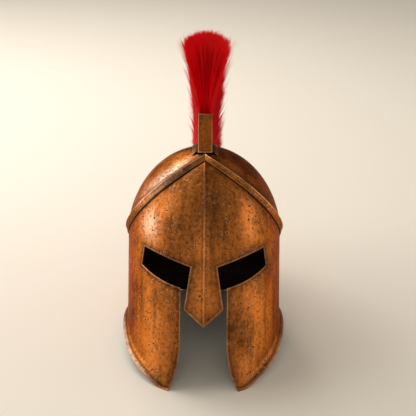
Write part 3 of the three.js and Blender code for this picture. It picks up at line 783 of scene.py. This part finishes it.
def channel_sheet():
    """The crest channel: walls, floor and skirts as one section swept over the skull, and a bevelled front plate."""
    half, slot = CHANNEL_HALF_WIDTH, CHANNEL_HALF_WIDTH - CHANNEL_SHEET
    section = channel_section()
    sides = len(section)

    def start_angle(x, extra, wall):
        # The skirts' front edges slant back towards the walls
        if abs(x) > half:
            setback = SKIRT_SLANT * max(0, SKIRT_HALF_WIDTH - abs(x)) / (SKIRT_HALF_WIDTH - half)
        else:
            setback = SLOT_SETBACK if abs(x) <= slot else 0
        return front_angle(extra + wall * CHANNEL_FRONT_HEIGHT, CHANNEL_FRONT + setback)

    starts = [start_angle(*corner) for corner in section]
    points = []
    for share in np.linspace(0, 1, CHANNEL_STATIONS):
        for (x, extra, wall), start in zip(section, starts):
            angle = start + (CHANNEL_BACK_ANGLE - start) * share
            y, z = crest_point(angle, extra + wall * channel_height(angle))
            points.append((x, float(y), float(z)))
    faces = tube_faces(CHANNEL_STATIONS, sides)
    wear = [0.5 if abs(x) > SKIRT_HALF_WIDTH - 0.6 else 0.0 for x, _, _ in section] * CHANNEL_STATIONS
    # The slot's inner faces are painted near-black, painted shade under the hair
    inner = [float(abs(x) <= slot + 0.01 or h == CHANNEL_FLOOR + 0.2) for x, h, _ in section] * CHANNEL_STATIONS
    # The channel is darkened all over, most on the tops of its walls
    grime = [{1: 0.8, 0.97: 0.35}.get(wall, 0.5) for _, _, wall in section] * CHANNEL_STATIONS
    foot = crest_point(front_angle(CHANNEL_FLOOR, CHANNEL_FRONT), CHANNEL_FLOOR)[1]
    head = crest_point(front_angle(CHANNEL_FRONT_HEIGHT, CHANNEL_FRONT), CHANNEL_FRONT_HEIGHT)[1]
    first = len(points)
    for inset, depth in ((1.3, 0.0), (0.3, 0.0), (0.0, 0.3), (0.0, CHANNEL_SHEET - 0.2), (0.2, CHANNEL_SHEET)):
        for side, high in ((-1, False), (1, False), (1, True), (-1, True)):
            z = (head - inset) if high else (foot + inset)
            points.append((side * (half + 0.02 - inset), CHANNEL_FRONT - 0.06 + depth, float(z)))
    faces += tube_faces(5, 4, first, inverted=True)
    # The plate's front edges are worn, each corner differently
    wear += [0.0] * 4 + [0.7, 0.45, 0.1, 0.5] * 2 + [0.2] * 8
    clean = [0.0] * (len(points) - first)
    masks = {"wear": wear, "patina": inner + clean, "grime": grime + clean, "inside": inner + clean}
    return np.array(points), faces, {**masks, "rubbed": np.zeros(len(points))}


def new_group(name, inputs, outputs, kind="ShaderNodeTree"):
    """A node group with its sockets, and its two ends."""
    tree = bpy.data.node_groups.new(name, kind)
    for label, socket_type, *value in inputs:
        item = tree.interface.new_socket(label, in_out="INPUT", socket_type=socket_type)
        if value:
            item.default_value = value[0]
    for label, socket_type in outputs:
        tree.interface.new_socket(label, in_out="OUTPUT", socket_type=socket_type)
    return tree, tree.nodes.new("NodeGroupInput"), tree.nodes.new("NodeGroupOutput")


class Graph:
    """Short forms for building a node tree."""

    def __init__(self, tree):
        self.tree = tree

    def fill(self, node, inputs):
        """Links or sets a node's inputs, by name or number, from sockets and plain values."""
        for key, value in inputs.items():
            if isinstance(value, bpy.types.NodeSocket):
                self.tree.links.new(value, node.inputs[key])
            else:
                node.inputs[key].default_value = value
        return node

    def node(self, kind, inputs, **settings):
        """A new node with its settings and its inputs."""
        node = self.tree.nodes.new(kind)
        for key, value in settings.items():
            setattr(node, key, value)
        return self.fill(node, inputs)

    def group(self, tree, inputs):
        return self.node("ShaderNodeGroup", inputs, node_tree=tree)

    def noise(self, vector, scale, detail=4.0, roughness=0.55):
        inputs = {"Vector": vector, "Scale": scale, "Detail": detail, "Roughness": roughness}
        return self.node("ShaderNodeTexNoise", inputs).outputs["Fac"]

    def ramp(self, value, low, high, to_low=0.0, to_high=1.0):
        inputs = {"Value": value, "From Min": low, "From Max": high, "To Min": to_low, "To Max": to_high}
        return self.node("ShaderNodeMapRange", inputs, clamp=True).outputs["Result"]

    def math(self, operation, first, second, clamp=False):
        return self.node("ShaderNodeMath", {0: first, 1: second}, operation=operation, use_clamp=clamp).outputs[0]

    def times(self, first, second):
        return self.math("MULTIPLY", first, second)

    def vector(self, operation, inputs):
        return self.node("ShaderNodeVectorMath", inputs, operation=operation).outputs["Vector"]

    def mix(self, share, first, second):
        return self.node("ShaderNodeMix", {0: share, 6: first, 7: second}, data_type="RGBA").outputs[2]

    def attribute(self, name):
        return self.node("ShaderNodeAttribute", {}, attribute_name=name).outputs["Fac"]


def upright_space():
    """A group that turns object coordinates upright and stretches them along the helmet's height."""
    tree, start, end = new_group(
        "Upright Space",
        [("Stretch", "NodeSocketFloat", 1.0)],
        [("Plain", "NodeSocketVector"), ("Streaked", "NodeSocketVector")],
    )
    g = Graph(tree)
    coordinates = g.node("ShaderNodeTexCoord", {}).outputs["Object"]
    turned = g.node("ShaderNodeMapping", {"Vector": coordinates, "Rotation": (lean_angle(), 0, 0)}).outputs["Vector"]
    shrink = g.math("DIVIDE", 1.0, start.outputs["Stretch"])
    scale = g.node("ShaderNodeCombineXYZ", {"X": 1, "Y": 1, "Z": shrink}).outputs["Vector"]
    g.fill(end, {"Plain": turned, "Streaked": g.vector("MULTIPLY", {0: turned, 1: scale})})
    return tree


def pits_of_sort(g, plain, scale, size, rarity):
    """Pits of one size in patches, each with a wobbly outline, and their raised rims."""
    wobble = g.node("ShaderNodeTexNoise", {"Vector": plain, "Scale": scale * 2.2, "Detail": 2.0}).outputs["Color"]
    warped = g.vector("MULTIPLY_ADD", {0: wobble, 1: (0.35 / scale,) * 3, 2: plain})
    cells = g.node("ShaderNodeTexVoronoi", {"Vector": warped, "Scale": scale})
    chance = g.node("ShaderNodeSeparateColor", {"Color": cells.outputs["Color"]}).outputs[0]
    patches = g.ramp(g.noise(plain, scale * 0.2, 2.0), rarity, rarity + 0.06)
    there = g.times(g.ramp(chance, 0.42, 0.48), patches)
    distance = cells.outputs["Distance"]
    hole = g.ramp(distance, size * 0.7, size, 1.0, 0.0)
    ring = g.times(g.ramp(distance, size * 0.9, size * 1.1), g.ramp(distance, size * 1.1, size * 1.45, 1.0, 0.0))
    return g.times(hole, there), g.times(ring, there)


def worn_marks():
    """A group of the marks that old sheet metal carries: clouds, streaks, specks, pits and their raised rims, which the
    bronze paints bright as painted highlights.
    """
    labels = ("Clouds", "Streaks", "Fine", "Pits", "Pit Rims", "Height", "Speckle")
    tree, start, end = new_group(
        "Worn Marks",
        [("Plain", "NodeSocketVector"), ("Streaked", "NodeSocketVector"), ("Pitting", "NodeSocketFloat", 1.0)],
        [(label, "NodeSocketFloat") for label in labels],
    )
    g = Graph(tree)
    plain, streaked, pitting = (start.outputs[key] for key in ("Plain", "Streaked", "Pitting"))
    clouds = g.noise(plain, 17.0, 5.0, 0.6)
    streaks = g.noise(streaked, 90.0, 5.0, 0.6)
    fine = g.noise(streaked, 420.0, 3.0, 0.6)
    speckle = g.noise(plain, 250.0, 4.0, 0.65)
    pits = rims = 0.0
    for sort in PIT_SORTS:
        more_pits, more_rims = pits_of_sort(g, plain, *sort)
        pits, rims = g.math("MAXIMUM", pits, more_pits), g.math("MAXIMUM", rims, more_rims)
    pits, rims = g.times(pits, pitting), g.times(rims, pitting)
    height = g.math("SUBTRACT", g.times(g.noise(plain, 30.0, 2.0), 0.5), pits)
    height = g.math("ADD", height, g.times(fine, 0.07))
    height = g.math("ADD", height, g.times(rims, 0.25))
    g.fill(end, dict(zip(labels, (clouds, streaks, fine, pits, rims, height, speckle))))
    return tree


def new_material(name):
    """A material, the short forms for its node tree, and its shader."""
    material = bpy.data.materials.new(name)
    material.use_nodes = True
    tree = material.node_tree
    return material, Graph(tree), tree.nodes["Principled BSDF"]


def plain_material(name, colour, roughness):
    """A material of one colour all over."""
    material, g, shader = new_material(name)
    g.fill(shader, {"Base Color": colour, "Roughness": roughness})
    return material


def bronze_material(name, tones, roughness, pitting, patina_reach):
    """Antiqued bronze: warm metal, browned by clouds and streaks, dark beside edges and bright along them, with painted
    shade and painted highlights laid on as colour.
    """
    bright, middle, dark, pale = (tuple(tone) for tone in tones)
    material, g, shader = new_material(name)
    groups = bpy.data.node_groups
    space = g.group(groups.get("Upright Space") or upright_space(), {"Stretch": 9.0}).outputs
    marks = g.group(
        groups.get("Worn Marks") or worn_marks(),
        {"Plain": space["Plain"], "Streaked": space["Streaked"], "Pitting": pitting},
    ).outputs
    clouds, streaks, speckle = (marks[key] for key in ("Clouds", "Streaks", "Speckle"))
    wear, patina, grime, inside, rubbed = (g.attribute(key) for key in ("wear", "patina", "grime", "inside", "rubbed"))
    # The painted highlight's pale colour, broken up by speckle; the coat is thicker there too
    painted_highlight_share = g.times(rubbed, g.ramp(speckle, 0.56, 0.44, 0.55, 1.0))
    darkened = g.times(patina, g.ramp(clouds, 0.25, 0.65, 1.0, 0.62))
    # What lies on the metal, painted highlights and painted shade among it, from the ground up: where, how much it
    # covers there, and its colour
    layers = (
        # Painted highlights: the pale patches
        (painted_highlight_share, 1.0, pale),
        (g.ramp(streaks, 0.5, 0.72), 0.55, dark),
        (g.ramp(streaks, 0.46, 0.3), 0.35, bright),
        # Patina along the edges, with painted shade below the ridge and over the brow
        (darkened, patina_reach, dark),
        (g.ramp(clouds, 0.5, 0.28), 0.5, dark),
        (g.ramp(speckle, 0.5, 0.64), 0.55, dark),
        (g.ramp(speckle, 0.46, 0.3), 0.35, bright),
        # Painted shade in creases and under the ridge and the channel's skirts; on the channel, darkening all over
        (grime, g.ramp(streaks, 0.25, 0.6, 0.95, 0.65), SHADE_AND_GRIME_COLOUR),
        (marks["Pits"], 0.97, PIT_COLOUR),
        # Painted highlights on the pits' rims
        (marks["Pit Rims"], 0.42, PIT_RIM_HIGHLIGHT_COLOUR),
        (wear, g.ramp(clouds, 0.34, 0.6, 0.35, 0.95), WORN_COLOUR),
        # The inner faces painted near-black: painted shade
        (inside, 0.97, INSIDE_SHADE_COLOUR),
    )
    colour = g.mix(g.ramp(clouds, 0.36, 0.66), middle, bright)
    for place, cover, tone in layers:
        colour = g.mix(g.times(place, cover), colour, tone)
    rough = g.ramp(marks["Fine"], 0.3, 0.7, roughness - 0.07, roughness + 0.08)
    rough = g.math("ADD", rough, g.times(darkened, 0.14))
    rough = g.math("ADD", rough, g.times(inside, 0.5))
    rough = g.math("SUBTRACT", rough, g.times(wear, 0.12), clamp=True)
    bump = g.node("ShaderNodeBump", {"Strength": 0.5, "Distance": 0.0007, "Height": marks["Height"]})
    surface = {
        "Base Color": colour,
        "Metallic": g.ramp(inside, 0, 1, 0.93, 0.1),
        "Roughness": rough,
        "Normal": bump.outputs["Normal"],
        "Specular Tint": (0.32, 0.2, 0.1, 1),
        "Coat Weight": g.ramp(painted_highlight_share, 0, 1, 0.07, 0.65),
        "Coat Roughness": 0.3,
    }
    g.fill(shader, surface)
    return material


def sheet_metal(finish):
    """The bronze of the skull cap and the mask, made once."""
    tones = (finish.bronze_bright, finish.bronze_middle, finish.bronze_dark, finish.rubbed)
    name = "Antique Bronze"
    return bpy.data.materials.get(name) or bronze_material(name, tones, roughness=0.36, pitting=1.0, patina_reach=0.85)


def channel_metal(finish):
    """The darker and smoother bronze of the crest channel."""
    tones = (finish.channel_bright, finish.channel_middle, finish.channel_dark, finish.rubbed)
    return bronze_material("Channel Bronze", tones, roughness=0.42, pitting=0.25, patina_reach=0.9)


def hair_material(dark, bright):
    """Dyed red bristle: each strand has its own depth of red, darker towards the root as painted shade and lighter at
    the tip as a painted highlight.
    """
    material, g, shader = new_material("Red Hair")
    colour = g.mix(g.ramp(g.attribute("tint"), 0, 1), tuple(dark), tuple(bright))
    along = g.attribute("along")
    # A painted highlight: the tips are lighter
    colour = g.mix(g.ramp(along, 0.7, 1.0, 0, 0.12), colour, HAIR_TIP_HIGHLIGHT_COLOUR)
    # Painted shade: darker towards the root
    colour = g.mix(g.ramp(along, 0.32, 0.0, 0, 0.55), colour, HAIR_ROOT_SHADE_COLOUR)
    surface = {
        "Base Color": colour,
        "Roughness": 0.45,
        "Specular IOR Level": 0.5,
        "Specular Tint": (1.0, 0.03, 0.05, 1),
        "Sheen Weight": 0.9,
        "Sheen Roughness": 0.6,
        "Sheen Tint": (1.0, 0.02, 0.035, 1),
    }
    g.fill(shader, surface)
    return material


def bristle(sides=3):
    """One closed bristle of unit length and unit radius along +Z, with its share of the length on each point."""
    levels = len(BRISTLE_WIDTHS)
    points = []
    for share, width in zip(np.linspace(0, 1, levels), BRISTLE_WIDTHS):
        for k in range(sides):
            a = 2 * math.pi * k / sides
            points.append((width * math.cos(a), width * math.sin(a), float(share)))
    mesh = bpy.data.meshes.new("bristle")
    mesh.from_pydata(points, [], tube_faces(levels, sides))
    set_attribute(mesh, "along", [p[2] for p in points])
    return add_object("bristle", mesh)


def hair_modifier_tree():
    """Sets a bristle on each point, along its direction, bends it by its own bend and gives it the hair's finish."""
    inputs = [
        ("Roots", "NodeSocketGeometry"), ("Bristle", "NodeSocketObject"), ("Radius", "NodeSocketFloat"),
        ("Disorder", "NodeSocketFloat"), ("Seed", "NodeSocketInt"), ("Finish", "NodeSocketMaterial"),
    ]  # fmt: skip
    tree, start, end = new_group("Bristle Hair", inputs, [("Hair", "NodeSocketGeometry")], "GeometryNodeTree")
    g = Graph(tree)
    given = start.outputs

    def named(key, kind="FLOAT_VECTOR"):
        return g.node("GeometryNodeInputNamedAttribute", {"Name": key}, data_type=kind).outputs["Attribute"]

    template = g.node("GeometryNodeObjectInfo", {"Object": given["Bristle"]})
    roots = g.node("GeometryNodeMeshToPoints", {"Mesh": given["Roots"]})
    turned = g.node("FunctionNodeAlignRotationToVector", {"Vector": named("direction")}, axis="Z")
    size = {"X": given["Radius"], "Y": given["Radius"], "Z": named("length", "FLOAT")}
    placing = {
        "Points": roots.outputs["Points"],
        "Instance": template.outputs["Geometry"],
        "Rotation": turned.outputs["Rotation"],
        "Scale": g.node("ShaderNodeCombineXYZ", size).outputs["Vector"],
    }
    hair = g.node("GeometryNodeInstanceOnPoints", placing).outputs["Instances"]
    limits = {0: (-1, -1, -1), 1: (1, 1, 1), "Seed": given["Seed"]}
    chance = g.node("FunctionNodeRandomValue", limits, data_type="FLOAT_VECTOR").outputs[0]
    stray = {"Geometry": hair, "Name": "stray", "Value": g.vector("SCALE", {0: chance, "Scale": given["Disorder"]})}
    hair = g.node("GeometryNodeStoreNamedAttribute", stray, data_type="FLOAT_VECTOR", domain="INSTANCE").outputs[0]
    hair = g.node("GeometryNodeRealizeInstances", {"Geometry": hair}).outputs["Geometry"]
    bend = g.vector("ADD", {0: named("bend"), 1: named("stray")})
    square = g.math("POWER", named("along", "FLOAT"), 2.0)
    shift = g.vector("SCALE", {0: bend, "Scale": square})
    hair = g.node("GeometryNodeSetPosition", {"Geometry": hair, "Offset": shift}).outputs["Geometry"]
    hair = g.node("GeometryNodeSetMaterial", {"Geometry": hair, "Material": given["Finish"]}).outputs["Geometry"]
    g.fill(end, {"Hair": hair})
    return tree


def plume_form(hair, share):
    """The plume at shares of the crest: angle in degrees, lean in radians, length and half its width in millimetres."""
    span = CHANNEL_BACK_ANGLE - CREST_FRONT_ANGLE - 2 * HAIR_END_GAP
    angle = CREST_FRONT_ANGLE + HAIR_END_GAP + span * share
    lean = hair.front_lean + (hair.back_lean - hair.front_lean) * share
    crownward = np.sin(math.pi * np.minimum(1, 1.25 * share) ** 0.8)
    length = hair.front_length + (hair.back_length - hair.front_length) * share
    length = length + (hair.crown_length - length) * crownward
    spread = hair.front_half_width + (hair.back_half_width - hair.front_half_width) * smoothstep(share, 0.3, 0.6)
    return angle, lean, length / MM, spread / MM


def hair_roots(hair, low, high, seed):
    """Roots of the bristles between two shares of the crest's length: place, direction, length, bend and depth of red,
    part of it painted shade.
    """
    rng = np.random.default_rng(seed)
    count = hair.strands
    share = rng.uniform(low, high, count)
    side = rng.uniform(-1, 1, count)
    angle, lean, length, spread = plume_form(hair, share)
    y, z = crest_point(angle, channel_height(angle) - HAIR_INSET - SHEET)
    roots = np.stack([side * hair.root_half_width / MM * ROOT_FILL, y, z], -1)
    # Bristles cling together in locks, and a few stand wildly
    lock = np.sin(share * 260 + 2.3 * np.sin(share * 71)) + np.sin(side * 9 + share * 90)
    lean = lean + rng.normal(0, 0.035, count) + 0.025 * lock
    wild = rng.random(count) < 0.09
    ragged = np.abs(rng.normal(0, 0.022, count)) - 0.03 * wild * rng.random(count)
    reach = (length + HAIR_INSET + SHEET) * (1 - 0.1 * side**2) * (1 + 0.01 * lock) * (1 - ragged)
    fan = side + rng.normal(0, 0.06, count) + 0.05 * np.sin(share * 180 + side * 5)
    across = hair.sway / MM * share + fan * spread * (1 + 0.36 * wild * rng.random(count)) - roots[:, 0]
    up = np.stack([0 * lean, np.sin(lean), np.cos(lean)], -1) * reach[:, None]
    # The hair leaves the mouth nearly straight and bows outwards, so part of the spread is bend
    outward = np.array([1, 0, 0]) * across[:, None]
    direction = up + outward * (1 - HAIR_BOW)
    depth = 1 - 0.6 * np.clip(np.abs(side), 0, 1)
    # Each strand's dye varies at random and by lock; it is darker in the middle of the fan and over the back half as
    # painted shade
    tint = 0.72 + 0.12 * lock + rng.normal(0, 0.22, count) - 0.12 * depth - 0.38 * smoothstep(share, 0.22, 0.5)
    return roots, direction, np.linalg.norm(direction, axis=1), outward * HAIR_BOW, np.clip(tint, 0, 1)


def make_hair(hair, index, template, tree, finish):
    """One bunch of the plume as a plain mesh."""
    low, high = index / hair.bunches, (index + 1) / hair.bunches
    roots, direction, length, bend, tint = hair_roots(hair, low, high, hair.seed + index)
    turned = np.array(frame_matrix())[:3, :3].T
    name = f"plume_hair_{index + 1}"
    mesh = bpy.data.meshes.new(name + "_roots")
    mesh.from_pydata([tuple(p) for p in to_row(roots)], [], [])
    set_attribute(mesh, "direction", direction @ turned, "FLOAT_VECTOR")
    set_attribute(mesh, "bend", bend @ turned, "FLOAT_VECTOR")
    set_attribute(mesh, "length", length * MM)
    set_attribute(mesh, "tint", tint)
    obj = add_object(name, mesh)
    modifier = obj.modifiers.new("Hair", "NODES")
    modifier.node_group = tree
    values = {
        "Bristle": template,
        "Radius": hair.strand_radius,
        "Disorder": BRISTLE_DISORDER,
        "Seed": hair.seed + index,
        "Finish": finish,
    }
    for item in tree.interface.items_tree:
        if item.name in values:
            modifier[item.identifier] = values[item.name]
    obj.update_tag()
    bpy.context.view_layer.update()
    evaluated = obj.evaluated_get(bpy.context.evaluated_depsgraph_get())
    done = bpy.data.meshes.new_from_object(evaluated)
    obj.modifiers.remove(modifier)
    obj.data = done
    done.materials.clear()
    done.materials.append(finish)
    if len(done.polygons) < hair.strands:
        raise RuntimeError(f"{name} came out with {len(done.polygons)} faces")
    return obj


def hair_core(hair, finish):
    """A dark body of hair inside the plume, on the root block in the channel, so that no light shows through."""
    points = []
    root = hair.root_half_width / MM * ROOT_FILL
    for share in np.linspace(0, 1, CORE_STATIONS):
        angle, lean, length, spread = plume_form(hair, share)
        y, z = crest_point(angle, channel_height(angle) - HAIR_INSET - CORE_DEPTH)
        # Straight up in the channel, then wider up to a narrower top
        flank = [
            (root + (CORE_WIDTH * spread - root) * s, 23 + (0.72 * length - 8) * s) for s in (0, 0.35, 0.7, 0.95)
        ]
        flank.append((CORE_TOP_WIDTH * spread, 0.74 * length + 19))
        section = [(-root, 0), (root, 0), *flank, *((-x, up) for x, up in flank[::-1])]
        for x, up in section:
            points.append((x + hair.sway / MM * share * up / 100, y + up * math.sin(lean), z + up * math.cos(lean)))
    # The core takes the darkest red and part of the root's darkening: painted shade inside the plume
    masks = {"tint": np.zeros(len(points)), "along": np.full(len(points), 0.1)}
    obj = make_object("plume_core", to_row(points), tube_faces(CORE_STATIONS, len(section)), masks)
    obj.data.materials.append(finish)
    return obj


def dress(obj, material, slot_name, *nodes):
    """Gives a piece its material and its place in the frame."""
    if material is not None:
        obj.data.materials.clear()
        obj.data.materials.append(material)
    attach(obj, "root")
    if nodes:
        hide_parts(*nodes)
    return obj


class HELMET_OT_skull(bpy.types.Operator):
    """Builds the skull cap with its folded brow ridge"""

    bl_idname = "helmet.skull"
    bl_label = "Skull Cap"

    def execute(self, context):
        points, faces, masks = skull_sheet(context.scene.helmet_shape)
        skull = make_object("skull_cap_fine", to_row(points), faces, masks, 50)
        dress(skull, sheet_metal(context.scene.helmet_finish), "bronze", "skull_cap")
        return {"FINISHED"}


class HELMET_OT_mask(bpy.types.Operator):
    """Builds the face mask with its cheek plates, nasal and neck guard"""

    bl_idname = "helmet.mask"
    bl_label = "Face Mask"

    def execute(self, context):
        points, faces, masks = mask_sheet(context.scene.helmet_shape)
        placed = to_row(points)
        # Nothing reaches below the ground
        placed[:, 2] = np.maximum(placed[:, 2], 0)
        mask = make_object("face_mask_fine", placed, faces, masks, 50)
        dress(mask, sheet_metal(context.scene.helmet_finish), "bronze", "face_mask")
        return {"FINISHED"}


class HELMET_OT_channel(bpy.types.Operator):
    """Builds the crest channel with its front plate and skirts"""

    bl_idname = "helmet.channel"
    bl_label = "Crest Channel"

    def execute(self, context):
        points, faces, masks = channel_sheet()
        channel = make_object("crest_holder_fine", to_row(points), faces, masks, 30)
        dress(channel, channel_metal(context.scene.helmet_finish), "channel_bronze", "crest_holder")
        return {"FINISHED"}


class HELMET_OT_plume(bpy.types.Operator):
    """Builds the hair plume"""

    bl_idname = "helmet.plume"
    bl_label = "Hair Plume"

    def execute(self, context):
        hair, colours = context.scene.helmet_hair, context.scene.helmet_finish
        finish = hair_material(colours.hair_dark, colours.hair_bright)
        template = bristle()
        tree = hair_modifier_tree()
        dress(hair_core(hair, finish), None, "red_hair", "plume")
        for index in range(hair.bunches):
            dress(make_hair(hair, index, template, tree, finish), None, "red_hair", "plume")
        bpy.data.objects.remove(template)
        return {"FINISHED"}


def add_light(name, power, size, place, colour):
    """A soft light at a place in the upright helmet's frame, in metres, that looks at the helmet's middle."""
    light = bpy.data.lights.new(name, "AREA")
    light.energy = power
    light.shape = "RECTANGLE"
    light.size, light.size_y = size
    light.color = colour
    obj = add_object(name, light)
    m = frame_matrix()
    obj.location = m @ (Vector(place) / MM)
    target = m @ Vector((0, 0, WALL_TOP))
    obj.rotation_euler = (target - obj.location).to_track_quat("-Z", "Y").to_euler()


def add_camera(settings):
    """The scene's camera, which looks straight at the helmet's face as if it stood upright, with a slight roll."""
    camera = bpy.data.cameras.new("Camera")
    camera.sensor_width = 36
    camera.lens = settings.lens
    camera.shift_x = settings.shift
    camera.clip_end = 100
    obj = add_object("Camera", camera)
    m = frame_matrix()
    turned = m.to_3x3() * (1 / MM)
    right, up, ahead = (turned @ Vector(axis) for axis in ((1, 0, 0), (0, 0, 1), (0, 1, 0)))
    cos, sin = math.cos(settings.camera_roll), math.sin(settings.camera_roll)
    up, right = up * cos - right * sin, right * cos + up * sin
    place = m @ Vector((0, -settings.camera_distance / MM, settings.camera_height / MM))
    obj.matrix_world = Matrix.Translation(place) @ Matrix((right, up, -ahead)).transposed().to_4x4()
    bpy.context.scene.camera = obj


class HELMET_OT_stage(bpy.types.Operator):
    """Builds the floor, the lights and the camera"""

    bl_idname = "helmet.stage"
    bl_label = "Stage"

    def execute(self, context):
        scene = context.scene
        settings = scene.helmet_stage
        mesh = bpy.data.meshes.new("floor")
        corners = [(x * FLOOR_REACH, y * FLOOR_REACH, 0) for x, y in ((-1, -1), (1, -1), (1, 1), (-1, 1))]
        mesh.from_pydata(corners, [], [(0, 1, 2, 3)])
        mesh.materials.append(plain_material("Pale Floor", tuple(scene.helmet_finish.floor), 0.8))
        add_object("floor", mesh)
        scene.view_settings.view_transform = "Standard"
        world = scene.world or bpy.data.worlds.new("Room")
        scene.world = world
        world.use_nodes = True
        background = world.node_tree.nodes["Background"]
        background.inputs["Color"].default_value = ROOM_COLOUR
        background.inputs["Strength"].default_value = settings.world_strength
        for name, power, size, place, colour in LIGHTS:
            add_light(name, getattr(settings, power), size, place, colour)
        add_camera(settings)
        return {"FINISHED"}


class HELMET_PT_panel(bpy.types.Panel):
    """Buttons that build the helmet, and its settings"""

    bl_idname = "HELMET_PT_panel"
    bl_label = "Bronze Helmet"
    bl_space_type = "VIEW_3D"
    bl_region_type = "UI"
    bl_category = "Helmet"

    def draw(self, context):
        for step in STEPS:
            self.layout.operator(step.bl_idname)
        for key, group in SETTINGS.items():
            box = self.layout.box()
            for name in group.__annotations__:
                box.prop(getattr(context.scene, key), name)


STEPS = (HELMET_OT_skull, HELMET_OT_mask, HELMET_OT_channel, HELMET_OT_plume, HELMET_OT_stage)
SETTINGS = {
    "helmet_shape": HelmetShape,
    "helmet_hair": HelmetHair,
    "helmet_finish": HelmetFinish,
    "helmet_stage": HelmetStage,
}


def register():
    for cls in (*SETTINGS.values(), *STEPS, HELMET_PT_panel):
        bpy.utils.register_class(cls)
    for key, group in SETTINGS.items():
        setattr(bpy.types.Scene, key, bpy.props.PointerProperty(type=group))


def unregister():
    for key in SETTINGS:
        delattr(bpy.types.Scene, key)
    for cls in reversed((*SETTINGS.values(), *STEPS, HELMET_PT_panel)):
        bpy.utils.unregister_class(cls)


def main():
    for obj in list(bpy.data.objects):
        bpy.data.objects.remove(obj)
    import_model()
    register()
    bpy.ops.helmet.stage()
    bpy.ops.helmet.skull()
    bpy.ops.helmet.mask()
    bpy.ops.helmet.channel()
    bpy.ops.helmet.plume()


if __name__ == "__main__":
    main()
